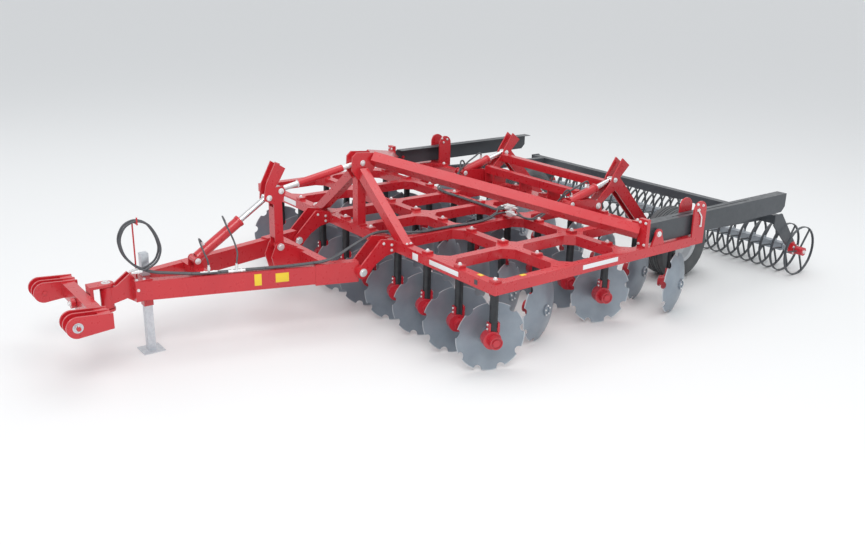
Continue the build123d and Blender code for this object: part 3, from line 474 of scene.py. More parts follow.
nodeFinish = {
    "frameRed": ("main_frame", "mast", "drawbar", "hitch_head", "hitch_yoke", "level_lever",
                 "front_barrel", "axle", "rear_barrels"),
    "castRed": ("disc_legs",),
    "anthracite": ("panel_left", "panel_right"),
    "rollerSteel": ("roller",),
    "rollerFramePaint": ("roller_frame",),
    "topLinkPaint": ("top_link",),
    "hardChrome": ("front_rod", "rear_rods"),
    "galvanised": ("jack_leg",),
    "rimSilver": ("rim_left", "rim_right"),
    "tyreRubber": ("tyre_left", "tyre_right"),
    "hoseRubber": ("drawbar_hoses", "frame_hoses"),
}
for finishName, names in nodeFinish.items():
    for name in names:
        coat(name, finish[finishName])
for row, y, shift, side in discRows:
    steel = discSteel(row, y, shift, side)
    for k in range(discsPerRow):
        coat("disc_%d_%d" % (row, k + 1), steel)
print("stage: finishes")


# tools for the added pieces

mergeDistance = 0.00003


def tidyMesh(mesh):
    bm = bmesh.new()
    bm.from_mesh(mesh)
    bmesh.ops.remove_doubles(bm, verts=bm.verts, dist=mergeDistance)
    bmesh.ops.recalc_face_normals(bm, faces=bm.faces)
    bm.to_mesh(mesh)
    bm.free()


def addPiece(name, mesh, body, finishName=None, sharp=38.0):
    tidyMesh(mesh)
    if finishName:
        mesh.materials.clear()
        mesh.materials.append(finish[finishName])
    mesh.shade_smooth()
    mesh.set_sharp_from_angle(angle=math.radians(sharp))
    piece = bpy.data.objects.new(name, mesh)
    bpy.context.scene.collection.objects.link(piece)
    if body:
        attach(piece, body)
    return piece


def joined(name, meshes):
    bm = bmesh.new()
    for mesh in meshes:
        bm.from_mesh(mesh)
        bpy.data.meshes.remove(mesh)
    whole = bpy.data.meshes.new(name)
    bm.to_mesh(whole)
    bm.free()
    return whole


def turned(profile, start, along, sides=32, ring=False):
    # a turned shape: profile holds (distance along, radius) in mm from a place in metres
    along = Vector(along).normalized()
    across = along.orthogonal().normalized()
    other = along.cross(across)
    verts, faces = [], []
    for distance, radius in profile:
        centre = start + along * distance * mm
        for k in range(sides):
            angle = 2 * math.pi * k / sides
            way = across * math.cos(angle) + other * math.sin(angle)
            verts.append(centre + way * max(radius, 0.01) * mm)
    last = len(profile) - 1
    for row in range(last):
        for k in range(sides):
            a, b = row * sides + k, row * sides + (k + 1) % sides
            faces.append((a, b, b + sides, a + sides))
    for k in range(sides):
        if ring:
            a, b = last * sides + k, last * sides + (k + 1) % sides
            faces.append((a, b, (k + 1) % sides, k))
    if not ring:
        faces.append(tuple(range(sides)))
        faces.append(tuple(last * sides + k for k in reversed(range(sides))))
    mesh = bpy.data.meshes.new("turned")
    mesh.from_pydata([tuple(v) for v in verts], [], faces)
    return mesh


def plank(centre, sizes, bevel=1.0, turn=None):
    # a box with rounded edges, sizes in mm
    bm = bmesh.new()
    bmesh.ops.create_cube(bm, size=1.0)
    bmesh.ops.scale(bm, vec=Vector(sizes) * mm, verts=bm.verts)
    if bevel:
        bmesh.ops.bevel(bm, geom=bm.edges, offset=bevel * mm, segments=2, profile=0.5, affect="EDGES")
    if turn is not None:
        bmesh.ops.rotate(bm, cent=(0, 0, 0), matrix=turn, verts=bm.verts)
    bmesh.ops.translate(bm, vec=centre, verts=bm.verts)
    mesh = bpy.data.meshes.new("plank")
    bm.to_mesh(mesh)
    bm.free()
    return mesh


def tube(points, radius, order=3, steps=8, sides=8):
    # a round tube along a NURBS line through control points in metres
    curve = bpy.data.curves.new("tube", "CURVE")
    curve.dimensions = "3D"
    curve.bevel_depth = radius * mm
    curve.bevel_resolution = sides // 2 - 1
    curve.use_fill_caps = True
    spline = curve.splines.new("NURBS")
    spline.points.add(len(points) - 1)
    for point, place in zip(spline.points, points):
        point.co = (*place, 1.0)
    spline.order_u = order
    spline.use_endpoint_u = True
    spline.resolution_u = steps
    carrier = bpy.data.objects.new("tube", curve)
    bpy.context.scene.collection.objects.link(carrier)
    depsgraph = bpy.context.evaluated_depsgraph_get()
    mesh = bpy.data.meshes.new_from_object(carrier.evaluated_get(depsgraph), depsgraph=depsgraph)
    bpy.data.objects.remove(carrier)
    bpy.data.curves.remove(curve)
    return mesh


def newTree(name, sockets):
    tree = bpy.data.node_groups.new(name, "GeometryNodeTree")
    tree.interface.new_socket("Geometry", in_out="INPUT", socket_type="NodeSocketGeometry")
    for label, kind in sockets:
        tree.interface.new_socket(label, in_out="INPUT", socket_type="NodeSocket" + kind)
    tree.interface.new_socket("Geometry", in_out="OUTPUT", socket_type="NodeSocketGeometry")
    return tree, tree.nodes.new("NodeGroupInput"), tree.nodes.new("NodeGroupOutput")


def runTree(base, tree, values):
    carrier = bpy.data.objects.new("carrier", base)
    bpy.context.scene.collection.objects.link(carrier)
    modifier = carrier.modifiers.new("repeat", "NODES")
    modifier.node_group = tree
    for item in tree.interface.items_tree:
        if item.item_type == "SOCKET" and item.in_out == "INPUT" and item.name in values:
            modifier[item.identifier] = values[item.name]
    depsgraph = bpy.context.evaluated_depsgraph_get()
    mesh = bpy.data.meshes.new_from_object(carrier.evaluated_get(depsgraph), depsgraph=depsgraph)
    carrier.modifiers.remove(modifier)
    bpy.data.objects.remove(carrier)
    return mesh


def pointMesh(places, vectors):
    # loose points with a vector attribute each; vectors holds name: one value for each point
    mesh = bpy.data.meshes.new("points")
    mesh.from_pydata([tuple(p) for p in places], [], [])
    for name, values in vectors.items():
        layer = mesh.attributes.new(name, "FLOAT_VECTOR", "POINT")
        for item, value in zip(layer.data, values):
            item.vector = value
    return mesh


def namedVector(tree, name):
    node = tree.nodes.new("GeometryNodeInputNamedAttribute")
    node.data_type = "FLOAT_VECTOR"
    node.inputs["Name"].default_value = name
    return node.outputs["Attribute"]


def makeFastenerTree():
    # a washer, a head and a chamfered crown on each point, facing along its axis
    sizes = ("Washer Radius", "Washer Height", "Head Radius", "Head Height", "Crown Radius", "Crown Height")
    sockets = [(label, "Float") for label in sizes]
    sockets += [("Sides", "Int"), ("Round Sides", "Int"), ("Seed", "Int"), ("Finish", "Material")]
    tree, given, out = newTree("fasteners", sockets)
    join = tree.nodes.new("GeometryNodeJoinGeometry")
    base = None
    for radius, height, sides, top in (
        ("Washer Radius", "Washer Height", "Round Sides", None),
        ("Head Radius", "Head Height", "Sides", None),
        ("Head Radius", "Crown Height", "Sides", "Crown Radius"),
    ):
        kind = "GeometryNodeMeshCone" if top else "GeometryNodeMeshCylinder"
        shape = tree.nodes.new(kind)
        link(tree, given.outputs[sides], shape.inputs["Vertices"])
        link(tree, given.outputs[height], shape.inputs["Depth"])
        if top:
            link(tree, given.outputs[top], shape.inputs["Radius Top"])
            inset = tree.nodes.new("ShaderNodeMath")
            inset.operation = "MULTIPLY"
            inset.inputs[1].default_value = 0.97
            link(tree, given.outputs[radius], inset.inputs[0])
            link(tree, inset.outputs[0], shape.inputs["Radius Bottom"])
        else:
            link(tree, given.outputs[radius], shape.inputs["Radius"])
        # a cylinder is made about its middle and a cone from its base
        lift = tree.nodes.new("ShaderNodeMath")
        lift.operation = "MULTIPLY_ADD"
        lift.inputs[1].default_value = 0.0 if top else 0.5
        link(tree, given.outputs[height], lift.inputs[0])
        if base is not None:
            link(tree, base, lift.inputs[2])
        else:
            lift.inputs[2].default_value = 0.0
        where = tree.nodes.new("ShaderNodeCombineXYZ")
        link(tree, lift.outputs[0], where.inputs["Z"])
        move = tree.nodes.new("GeometryNodeTransform")
        link(tree, shape.outputs["Mesh"], move.inputs["Geometry"])
        link(tree, where.outputs[0], move.inputs["Translation"])
        link(tree, move.outputs["Geometry"], join.inputs["Geometry"])
        total = tree.nodes.new("ShaderNodeMath")
        link(tree, given.outputs[height], total.inputs[0])
        if base is not None:
            link(tree, base, total.inputs[1])
        else:
            total.inputs[1].default_value = 0.0
        base = total.outputs[0]
    face = tree.nodes.new("FunctionNodeAlignRotationToVector")
    face.axis = "Z"
    link(tree, namedVector(tree, "axis"), face.inputs["Vector"])
    chance = tree.nodes.new("FunctionNodeRandomValue")
    chance.data_type = "FLOAT"
    chance.inputs[2].default_value = 0.0
    chance.inputs[3].default_value = math.pi / 3
    link(tree, given.outputs["Seed"], chance.inputs["Seed"])
    twist = tree.nodes.new("FunctionNodeAxisAngleToRotation")
    twist.inputs["Axis"].default_value = (0, 0, 1)
    link(tree, chance.outputs[1], twist.inputs["Angle"])
    turn = tree.nodes.new("FunctionNodeRotateRotation")
    turn.rotation_space = "LOCAL"
    link(tree, face.outputs["Rotation"], turn.inputs["Rotation"])
    link(tree, twist.outputs["Rotation"], turn.inputs["Rotate By"])
    copies = tree.nodes.new("GeometryNodeInstanceOnPoints")
    link(tree, given.outputs["Geometry"], copies.inputs["Points"])
    link(tree, join.outputs["Geometry"], copies.inputs["Instance"])
    link(tree, turn.outputs["Rotation"], copies.inputs["Rotation"])
    link(tree, namedVector(tree, "size"), copies.inputs["Scale"])
    real = tree.nodes.new("GeometryNodeRealizeInstances")
    link(tree, copies.outputs["Instances"], real.inputs["Geometry"])
    coating = tree.nodes.new("GeometryNodeSetMaterial")
    link(tree, real.outputs["Geometry"], coating.inputs["Geometry"])
    link(tree, given.outputs["Finish"], coating.inputs["Material"])
    link(tree, coating.outputs["Geometry"], out.inputs["Geometry"])
    return tree


def makeBandTree():
    # a flat strap pulled round an oval on each point: axis runs through it, side along its long way
    sockets = [("Width", "Float"), ("Thickness", "Float"), ("Finish", "Material")]
    tree, given, out = newTree("bands", sockets)
    ring = tree.nodes.new("GeometryNodeCurvePrimitiveCircle")
    ring.inputs["Resolution"].default_value = 28
    ring.inputs["Radius"].default_value = 1.0
    face = tree.nodes.new("FunctionNodeAlignRotationToVector")
    face.axis = "Z"
    link(tree, namedVector(tree, "axis"), face.inputs["Vector"])
    lay = tree.nodes.new("FunctionNodeAlignRotationToVector")
    lay.axis = "X"
    lay.pivot_axis = "Z"
    link(tree, face.outputs["Rotation"], lay.inputs["Rotation"])
    link(tree, namedVector(tree, "side"), lay.inputs["Vector"])
    copies = tree.nodes.new("GeometryNodeInstanceOnPoints")
    link(tree, given.outputs["Geometry"], copies.inputs["Points"])
    link(tree, ring.outputs["Curve"], copies.inputs["Instance"])
    link(tree, lay.outputs["Rotation"], copies.inputs["Rotation"])
    link(tree, namedVector(tree, "reach"), copies.inputs["Scale"])
    real = tree.nodes.new("GeometryNodeRealizeInstances")
    link(tree, copies.outputs["Instances"], real.inputs["Geometry"])
    strap = tree.nodes.new("GeometryNodeCurvePrimitiveQuadrilateral")
    link(tree, given.outputs["Thickness"], strap.inputs["Width"])
    link(tree, given.outputs["Width"], strap.inputs["Height"])
    sweep = tree.nodes.new("GeometryNodeCurveToMesh")
    link(tree, real.outputs["Geometry"], sweep.inputs["Curve"])
    link(tree, strap.outputs["Curve"], sweep.inputs["Profile Curve"])
    coating = tree.nodes.new("GeometryNodeSetMaterial")
    link(tree, sweep.outputs["Mesh"], coating.inputs["Geometry"])
    link(tree, given.outputs["Finish"], coating.inputs["Material"])
    link(tree, coating.outputs["Geometry"], out.inputs["Geometry"])
    return tree


fastenerTree, bandTree = makeFastenerTree(), makeBandTree()
# one row for each kind: washer r, h, head r, h, crown r, h, head's sides, washer's sides, finish, slot
fastenerKinds = {
    "pegBolt": (21, 4, 17, 12, 9, 7, 6, 20, "zincWhite", "zinc"),
    "bolt": (15, 3, 12.5, 9, 9, 2, 6, 16, "zincWhite", "zinc"),
    "smallBolt": (11, 2, 9, 7, 6, 1.5, 6, 14, "zincWhite", "zinc"),
    "nut": (10, 1.5, 8.5, 8, 6, 1, 6, 12, "zincWhite", "zinc"),
    "bigPin": (42, 6, 34, 10, 28, 4, 24, 28, "zincWhite", "zinc"),
    "pin": (38, 5, 28, 9, 23, 4, 24, 24, "zincWhite", "zinc"),
    "linkPin": (30, 3, 24, 9, 19, 3, 20, 22, "zincWhite", "zinc"),
    "sleeve": (38.4, 374, 38.1, 3, 36, 1.6, 30, 32, "forgedDark", "leg_steel"),
    "swivel": (40, 4, 30, 10, 22, 3, 6, 24, "zincWhite", "zinc"),
    "washer": (44, 3, 30, 2, 28, 1, 24, 30, "galvanised", "zinc"),
    "wheelNut": (17, 2, 14, 16, 9, 5, 6, 16, "zincWhite", "zinc"),
}


def fasteners(name, body, kind, places, seed=1):
    # places: (place in metres, way it faces), and a scale where it isn't 1
    washerR, washerH, headR, headH, crownR, crownH, sides, rounds, finishName, slot = fastenerKinds[kind]
    scales = [(p[2],) * 3 if len(p) > 2 else (1, 1, 1) for p in places]
    base = pointMesh([p[0] for p in places], {"axis": [p[1] for p in places], "size": scales})
    mesh = runTree(base, fastenerTree, {
        "Washer Radius": washerR * mm, "Washer Height": washerH * mm, "Head Radius": headR * mm,
        "Head Height": headH * mm, "Crown Radius": crownR * mm, "Crown Height": crownH * mm,
        "Sides": sides, "Round Sides": rounds, "Seed": seed, "Finish": finish[finishName],
    })
    return addPiece(name, mesh, body)


def bands(name, body, places, width=5.0, thickness=1.6):
    # places: (place in metres, axis, long way, half reach along it, half reach across it)
    base = pointMesh([p[0] for p in places], {
        "axis": [p[1] for p in places], "side": [p[2] for p in places],
        "reach": [(p[3] * mm, p[4] * mm, 1.0) for p in places],
    })
    mesh = runTree(base, bandTree, {
        "Width": width * mm, "Thickness": thickness * mm, "Finish": finish["tieBlack"],
    })
    return addPiece(name, mesh, body)


print("stage: tools")


# added pieces

left, up, ahead = Vector((1, 0, 0)), Vector((0, 0, 1)), Vector((0, -1, 0))
frameTop = 860.0
armX = 935                    # middle of each lifting arm and of its cylinder
armReach = 106                # half of what the arm's lugs cover of the rear beam
footStart, footEnd = 700, 955     # the mast's foot covers this much of the front beam
earX, earY = 640, -1708       # the drawbar's pivots
linkY, linkZ = -4372, 600     # the lower link pins
toe = math.radians(discLook["toe"])
hubZ = discLook["hubZ"]
# fasteners of a leg and its disc, in mm: clampHeights are above the hub, the rest from the leg's middle
legFit = {
    "pegTop": 26, "sleeveFoot": 381, "clampHeights": (98, 138), "clampReach": 52,
    "discBack": 150, "nuts": 5, "nutRing": 47, "firstNut": 0.3,
}


def discPlaces():
    # row, place in the row, x, y, side
    for row, y, shift, side in discRows:
        for k in range(discsPerRow):
            yield row, k + 1, discLook["firstX"] - (shift + k) * discLook["pitch"], y, side


pegs, sleeves, clampBolts = [], [], []
for row, k, x, y, side in discPlaces():
    underFoot = row == 1 and footStart < abs(x) < footEnd
    underArm = row == 4 and abs(abs(x) - armX) < armReach
    if not underFoot and not underArm:
        pegs.append((at(x, y, frameTop + legFit["pegTop"]), up))
    sleeves.append((at(x, y, legFit["sleeveFoot"]), up))
    across = Vector((-math.sin(toe), -side * math.cos(toe), 0))
    for turn in (-1, 1):
        for height in legFit["clampHeights"]:
            place = at(x, y, hubZ + height) + across * turn * legFit["clampReach"] * mm
            clampBolts.append((place, across * turn))
    axis = Vector((side * math.cos(toe), -math.sin(toe), 0))
    back = at(x, y, hubZ) - axis * legFit["discBack"] * mm
    angles = [2 * math.pi * n / legFit["nuts"] + legFit["firstNut"] for n in range(legFit["nuts"])]
    ring = [back + (across * math.cos(a) + up * math.sin(a)) * legFit["nutRing"] * mm for a in angles]
    spot = "%d_%d" % (row, k)
    fasteners("discNuts_" + spot, "disc_" + spot, "nut", [(p, -axis) for p in ring], seed=k)
fasteners("pegBolts", "frame", "pegBolt", pegs, seed=3)
fasteners("legSleeves", "frame", "sleeve", sleeves, seed=4)
fasteners("clampBolts", "frame", "smallBolt", clampBolts, seed=5)
print("stage: disc and leg fasteners")


def bothWays(x, reach, y, z):
    # both ends of a pin along X
    return [(at(x + way * reach, y, z), left * way) for way in (-1, 1)]


# columns: name, body, kind, x places, reach, y, z
pinRows = (
    ("earPins", "frame", "bigPin", (-earX, earX), 95, earY, 612),
    ("leverPivotPins", "drawbar", "pin", (0,), 79, -2252, 796),
    ("leverRodPins", "lever", "linkPin", (0,), 58, -2346, 1299),
    ("leverLinkPins", "lever", "linkPin", (0,), 58, -2215, 1352),
    ("frontBasePins", "drawbar", "linkPin", (0,), 76, -3110, 800),
    ("mastPins", "frame", "linkPin", (0,), 62, -1278, 1527),
    ("armPivotPins", "frame", "pin", (-armX, armX), 80, 1263, 930),
    ("rearBasePins", "frame", "linkPin", (-armX, armX), 80, 843, 1001),
    ("rearRodPins", "axle", "linkPin", (-armX, armX), 58, 1538, 1189),
)
for name, body, kind, columns, reach, y, z in pinRows:
    fasteners(name, body, kind, [place for x in columns for place in bothWays(x, reach, y, z)], seed=7)

# the ring of four bolts round each end of the roller's axle
rollerBolts = {"x": 2112, "count": 4, "first": 45, "ring": 52}
frameBolts, drawbarBolts = [], []
for side in (-1, 1):
    # feet of the mast's legs, brackets of its stays, catches of the panels, then the drawbar's ears
    for x in (758, 900):
        for y in (-1262, -1308):
            frameBolts.append((at(side * x, y, 876), up))
    for x in (2160, 2230):
        for z in (890, 1112):
            frameBolts.append((at(side * x, 664, z), -ahead))
            frameBolts.append((at(side * x, 616, z), ahead))
    for y, z in ((1386, 1200), (1475, 1180), (1414, 1141)):
        frameBolts.append((at(side * 2250, y, z), left * side))
        frameBolts.append((at(side * 2052, y, z), -left * side))
    for y, z in ((-1375, 840), (-1375, 785), (-1470, 868)):
        for x, way in ((735, 1), (545, -1)):
            frameBolts.append((at(side * x, y, z), left * side * way))
    for n in range(rollerBolts["count"]):
        a = math.radians(rollerBolts["first"] + 360 / rollerBolts["count"] * n)
        y, z = rollerY + rollerBolts["ring"] * math.cos(a), rollerZ + rollerBolts["ring"] * math.sin(a)
        frameBolts.append((at(side * rollerBolts["x"], y, z), left * side))
    for y in (-3706, -3640):
        drawbarBolts.append((at(side * 140, y, 652), left * side))
        drawbarBolts.append((at(side * 118, y, 738), up))
fasteners("frameBolts", "frame", "bolt", frameBolts, seed=11)
fasteners("drawbarBolts", "drawbar", "bolt", drawbarBolts, seed=12)
# columns: name, body, kind, seed, then a place, way and scale for each
looseRows = (
    ("panelPins", "frame", "linkPin", 13, [((s * 2246, 815, 975), left * s, 1) for s in (-1, 1)]),
    ("swivelCaps", "hitch_head", "swivel", 14, [((0, -3945, 730), up, 1), ((0, -3945, 470), -up, 1)]),
    ("rollBolt", "hitch_head", "bolt", 15, [((0, -4262, linkZ), ahead, 1.6)]),
    ("rollerCaps", "roller", "bolt", 16, [((s * 2232, rollerY, rollerZ), left * s, 1.5) for s in (-1, 1)]),
    ("linkWashers", "hitch_yoke", "washer", 17, [((s * 600, linkY, linkZ), left * s, 1) for s in (-1, 1)]),
)
for name, body, kind, seed, rows in looseRows:
    fasteners(name, body, kind, [(at(*place), way, scale) for place, way, scale in rows], seed=seed)
print("stage: pins and bolts")

# wheels: profile of half the tyre, distance from its middle and radius, then mirrored
halfTyre = (
    (6.5, 403), (22, 403.5), (23, 412), (49, 412), (50, 403), (60, 403), (61, 412), (84, 411.5),
    (85, 402.5), (95, 402.5), (96, 411), (114, 410), (138, 406), (163, 396), (176, 376), (186, 350),
    (188, 343), (190, 338), (188.5, 330), (187, 300), (184, 278), (180, 262), (172, 240), (158, 222),
    (140, 208), (133, 205.2),
)
tyreProfile = [(-x, r) for x, r in reversed(halfTyre)] + [(-5.8, 411.9), (5.8, 411.9)] + list(halfTyre)
hubCap = ((0, 56), (8, 56), (9, 48), (40, 47), (50, 42), (55, 30), (57, 12))
# middle of the tyre, then the disc of the rim that the nuts sit on, and their ring
wheel = {"x": 1310, "y": 2305, "z": 412, "face": 19, "nuts": 8, "nutRing": 82}
for side, name in ((1, "left"), (-1, "right")):
    centre = at(side * wheel["x"], wheel["y"], wheel["z"])
    tyre = addPiece("tyreTread_" + name, turned(tyreProfile, centre, left * side, 60, ring=True),
                    "wheel_" + name, "tyreRubber", 32)
    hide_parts("tyre_" + name)
    face = centre + left * side * wheel["face"] * mm
    addPiece("hubCap_" + name, turned(hubCap, face, left * side, 28), "wheel_" + name, "rimSilver")
    nuts = [(face + Vector((0, math.cos(a), math.sin(a))) * wheel["nutRing"] * mm, left * side)
            for a in (2 * math.pi * n / wheel["nuts"] for n in range(wheel["nuts"]))]
    fasteners("wheelNuts_" + name, "wheel_" + name, "wheelNut", nuts, seed=19)
print("stage: wheels")

# blank labels: name, body, finish, place, size
labels = (
    ("whiteLabelSmall", "frame", "labelWhite", (1076, -1335.8, 800), (90, 1.6, 70)),
    ("whiteLabelLong", "frame", "labelWhite", (1521, -1335.8, 813), (437, 1.6, 47)),
    ("darkPlate", "frame", "anthracite", (1989, -1335.8, 813), (45, 1.6, 45)),
    ("whiteLabelFar", "frame", "labelWhite", (-1431, -1335.8, 810), (289, 1.6, 58)),
    ("whiteLabelSide", "frame", "labelWhite", (2250.8, -15, 822), (1.6, 480, 45)),
    ("yellowLabelFront", "frame", "labelYellow", (1962, -1261, 860.8), (60, 40, 1.6)),
    ("yellowLabelSide", "frame", "labelYellow", (2172, -943, 860.8), (40, 60, 1.6)),
)
for name, body, finishName, place, size in labels:
    addPiece(name, plank(at(*place), size, 0.4), body, finishName)
# the drawbar's beam runs in by beamIn over beamLong, and its side is beamFace out from its middle
beamIn, beamLong, beamFace = 545, 1992, 47.4
beamTurn = Matrix.Rotation(math.atan2(-beamIn, beamLong), 3, "Z")
for name, y, z, length, height in (
    ("yellowLabelOne", -2676, 635, 67, 114),
    ("yellowLabelTwo", -2455, 635, 127, 90),
):
    x = earX + beamIn * (y - earY) / beamLong + beamFace
    label = plank(at(x, y, z), (1.6, length, height), 0.4, beamTurn)
    addPiece(name, label, "drawbar", "labelYellow")
print("stage: labels")

# hoses that cross a joint, and their fittings

def spots(*places):
    return [at(*p) for p in places]


def blended(name, mesh):
    piece = addPiece(name, mesh, None, "hoseRubber", 60)
    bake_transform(piece)
    return piece


bridgeRuns = (
    ((530, -2080, 737), (553, -2000, 744), (600, -1900, 800), (622, -1790, 862), (602, -1640, 906),
     (506, -1500, 902), (446, -1408, 892)),
    ((556, -2080, 737), (579, -2000, 746), (628, -1900, 806), (650, -1790, 870), (632, -1640, 914),
     (528, -1500, 908), (470, -1408, 892)),
)
bridges = joined("bridgeHoses", [tube(spots(*run), 10, steps=10, sides=12) for run in bridgeRuns])
blended("bridgeHoses", bridges)

cylinderRuns = (
    ((0, -3014, 928), (0, -3040, 972), (14, -3066, 1002), (90, -3088, 990), (205, -3094, 900),
     (256, -3085, 850), (258, -3085, 790)),
    ((0, -2771, 1086), (0, -2792, 1132), (10, -2816, 1178), (90, -2850, 1196), (152, -2842, 1120),
     (192, -2800, 1000), (262, -2792, 880), (336, -2840, 840), (346, -2850, 788)),
)
feeds = joined("frontCylinderHoses", [tube(spots(*run), 8, steps=10, sides=12) for run in cylinderRuns])
blended("frontCylinderHoses", feeds)

rearRuns = (
    ("rearHosesNear", (
        ((757, 205, 925), (800, 240, 924), (866, 258, 905), (916, 325, 891), (880, 420, 888),
         (838, 500, 889), (816, 600, 896), (828, 690, 940), (868, 760, 1012), (905, 800, 1092),
         (925, 815, 1146), (935, 866, 1146), (935, 893, 1092), (935, 897, 1070)),
        ((568, 400, 925), (600, 412, 924), (650, 364, 910), (760, 310, 900), (880, 272, 893),
         (948, 330, 890), (915, 450, 889), (845, 600, 894), (842, 690, 940), (876, 780, 1042),
         (900, 900, 1122), (920, 1050, 1182), (935, 1130, 1220), (935, 1162, 1196), (935, 1158, 1140)),
    ), 1),
    ("rearHosesFar", (
        ((-890, 560, 900), (-886, 610, 905), (-872, 690, 942), (-872, 760, 1012), (-905, 800, 1092),
         (-925, 815, 1146), (-935, 866, 1146), (-935, 893, 1092), (-935, 897, 1070)),
        ((-916, 556, 900), (-912, 606, 905), (-892, 690, 944), (-880, 780, 1042), (-900, 900, 1122),
         (-920, 1050, 1182), (-935, 1130, 1220), (-935, 1162, 1196), (-935, 1158, 1140)),
    ), -1),
)
for name, runs, side in rearRuns:
    mesh = joined(name, [tube(spots(*run), 10, steps=8, sides=12) for run in runs])
    blended(name, mesh)

valveRuns = (
    ((562, 110, 902), (546, 160, 908), (488, 214, 904), (380, 310, 900), (338, 400, 900), (352, 470, 908),
     (410, 452, 920), (452, 392, 925)),
    ((586, 110, 902), (592, 160, 908), (626, 196, 920), (690, 199, 925)),
    ((392, 262, 900), (424, 256, 902), (452, 290, 916), (456, 350, 925)),
    ((392, 236, 900), (450, 228, 902), (508, 270, 918), (510, 342, 925)),
)
valveHoses = joined("valveHoses", [tube(spots(*run), 10, sides=12) for run in valveRuns])
addPiece("valveHoses", valveHoses, "frame", "hoseRubber", 60)

stem = ((0, 17), (10, 17), (11, 12), (34, 12), (36, 9))
shortStem = ((0, 15), (8, 15), (9, 10), (26, 10))
valveEnd = ((0, 16), (16, 16), (17, 13), (44, 13))
valveParts = [
    plank(at(509, 373, 925), (118, 76, 58), 3),
    plank(at(721, 199, 925), (72, 62, 54), 3),
    turned(stem, at(485, 373, 954), up, 20),
    turned(stem, at(535, 373, 954), up, 20),
    turned(shortStem, at(721, 199, 952), up, 20),
]
for place, way in (
    ((452, 392, 925), (-1, 0, 0)), ((690, 199, 925), (-1, 0, 0)), ((456, 350, 925), (-1, -0.4, 0)),
    ((510, 340, 925), (0, -1, 0)), ((755, 203, 925), (1, 0.4, 0)), ((566, 399, 925), (1, 0.2, 0)),
):
    valveParts.append(turned(valveEnd, at(*place), way, 6))
addPiece("valveBlocks", joined("valveBlocks", valveParts), "frame", "zincWhite", 30)
addPiece("valveBrackets", joined("valveBrackets", [
    plank(at(509, 373, 893), (140, 90, 5), 1), plank(at(446, 373, 876), (5, 90, 30), 1),
    plank(at(572, 373, 876), (5, 90, 30), 1), plank(at(700, 199, 895), (150, 70, 5), 1),
    plank(at(640, 199, 877), (6, 70, 32), 1),
]), "frame", "frameRed", 30)


def ferrule(place, way, size=1.0):
    profile = ((0, 17), (15, 17), (16, 13.2), (44, 13.2), (45, 11))
    return turned([(d * size, r * size) for d, r in profile], at(*place), way, 6)


teeRun = ((-78, 14), (-52, 14), (-51, 17), (-34, 17), (-33, 13), (33, 13), (34, 17), (51, 17), (52, 14),
          (78, 14))
teeBranch = ((0, 12), (30, 12), (31, 15), (48, 15), (49, 11.5), (72, 11.5))
coupling = ((-34, 13), (-6, 13.5), (-5, 18), (14, 18), (15, 15), (38, 15), (39, 11), (62, 11))
tees = []
for x, y, z in ((258, -3085, 739), (346, -2850, 736)):
    along = Vector((-0.273, -0.962, 0.0))
    middle = at(x, y, z)
    tees.append(turned(teeRun, middle, along, 12))
    tees.append(turned(teeBranch, middle, up, 12))
frontPorts = [
    ferrule((0, -3014, 926), (0, -0.5, 0.85), 0.9),
    ferrule((0, -2771, 1084), (0, -0.45, 0.88), 0.9),
]
rearPorts = [
    ferrule((s * armX, y, z), (0, -0.05, 1), 1.0)
    for s in (-1, 1) for y, z in ((897, 1066), (1158, 1136))
]
couplings = [turned(coupling, at(x, -3690, 822), ahead, 24) for x in (80, 132)]
for name, body, parts in (
    ("hoseTees", "drawbar", tees),
    ("frontPorts", "front_barrel", frontPorts),
    ("rearPorts", "rear_barrels", rearPorts),
    ("couplings", "drawbar", couplings),
):
    addPiece(name, joined(name, parts), body, "zincWhite", 30)
print("stage: hoses and fittings")


def between(table, y):
    # the place on a route where it passes this y, and the way it runs there
    for (x0, y0, z0), (x1, y1, z1) in zip(table, table[1:]):
        if min(y0, y1) <= y <= max(y0, y1):
            t = (y - y0) / (y1 - y0)
            way = Vector((x1 - x0, y1 - y0, z1 - z0)).normalized()
            return (x0 + (x1 - x0) * t, y, z0 + (z1 - z0) * t), way


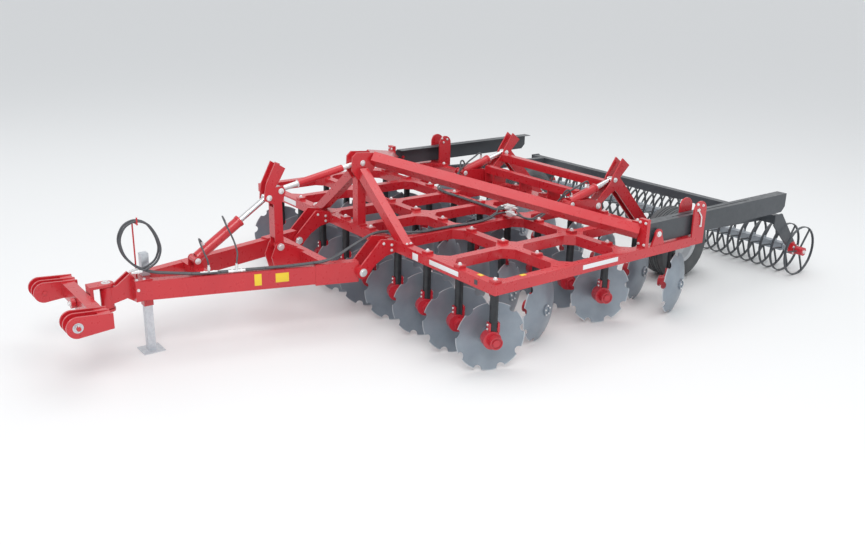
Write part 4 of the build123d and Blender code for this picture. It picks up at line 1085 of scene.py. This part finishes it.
drawbarRoute = (
    (530, -2080, 737), (466, -2300, 727), (412, -2520, 731), (345, -2750, 735), (290, -2975, 738),
    (228, -3190, 741), (140, -3390, 762), (76, -3560, 784),
)
frameRoute = (
    (606, -1040, 880), (634, -900, 873), (632, -700, 873), (636, -520, 874), (650, -340, 873),
    (650, -160, 873), (622, -10, 880), (586, 110, 902),
)
tieReach, tieHeight, tieWidth = 24.5, 11.5, 7     # half sizes of the oval, and the strap's width
for name, body, route, stops, shift in (
    ("drawbarTies", "drawbar", drawbarRoute, (-3330, -3235, -2991, -2589, -2329, -2140), 13),
    ("frameTies", "frame", frameRoute, (-928, -790, -560, -330, -110, 10), -12),
):
    places = []
    for y in stops:
        (x, y, z), along = between(route, y)
        places.append((at(x + shift, y, z), along, (1, 0, 0), tieReach, tieHeight))
    bands(name, body, places, width=tieWidth)
farTies = [
    (at(x, 321, 877), (1, 0, 0), (0, 1, 0), tieReach, tieHeight) for x in (-100, -350, -600, 120)
]
bands("farTies", "frame", farTies, width=tieWidth)

# lock bars of the side panels, and the rings of the hitch pins
barX, barLugX, barRadius = 2262, 2256, 7
barRun = ((1400, 1150), (1404, 1120), (1452, 1075), (1460, 1040), (1460, 956))
pinRing = {
    "x": 623, "radius": 24, "lift": 6, "points": 12, "wire": 2.5, "pinHalf": 32, "pinRadius": 4,
}
for side, name in ((1, "left"), (-1, "right")):
    bent = tube(spots(*[(side * barX, y, z) for y, z in barRun]), barRadius, sides=12)
    lugs = [
        plank(at(side * barLugX, 1400, 1140), (12, 40, 26), 2),
        plank(at(side * barLugX, 1460, 962), (12, 30, 20), 2),
    ]
    addPiece("lockBar_" + name, joined("lockBar", [bent] + lugs), "frame", "zincWhite", 40)
    angles = [2 * math.pi * n / pinRing["points"] for n in range(pinRing["points"])]
    wire = [
        at(side * pinRing["x"], linkY + pinRing["radius"] * math.sin(a),
           linkZ + pinRing["lift"] + pinRing["radius"] * math.cos(a))
        for a in angles
    ]
    ends = [(way * pinRing["pinHalf"], pinRing["pinRadius"]) for way in (-1, 1)]
    pin = turned(ends, at(side * pinRing["x"], linkY, linkZ), up, 12)
    meshes = [tube(wire, pinRing["wire"], steps=4), pin]
    addPiece("pinRing_" + name, joined("pinRing", meshes), "hitch_yoke", "zincWhite", 50)
print("stage: ties, lock bars and rings")
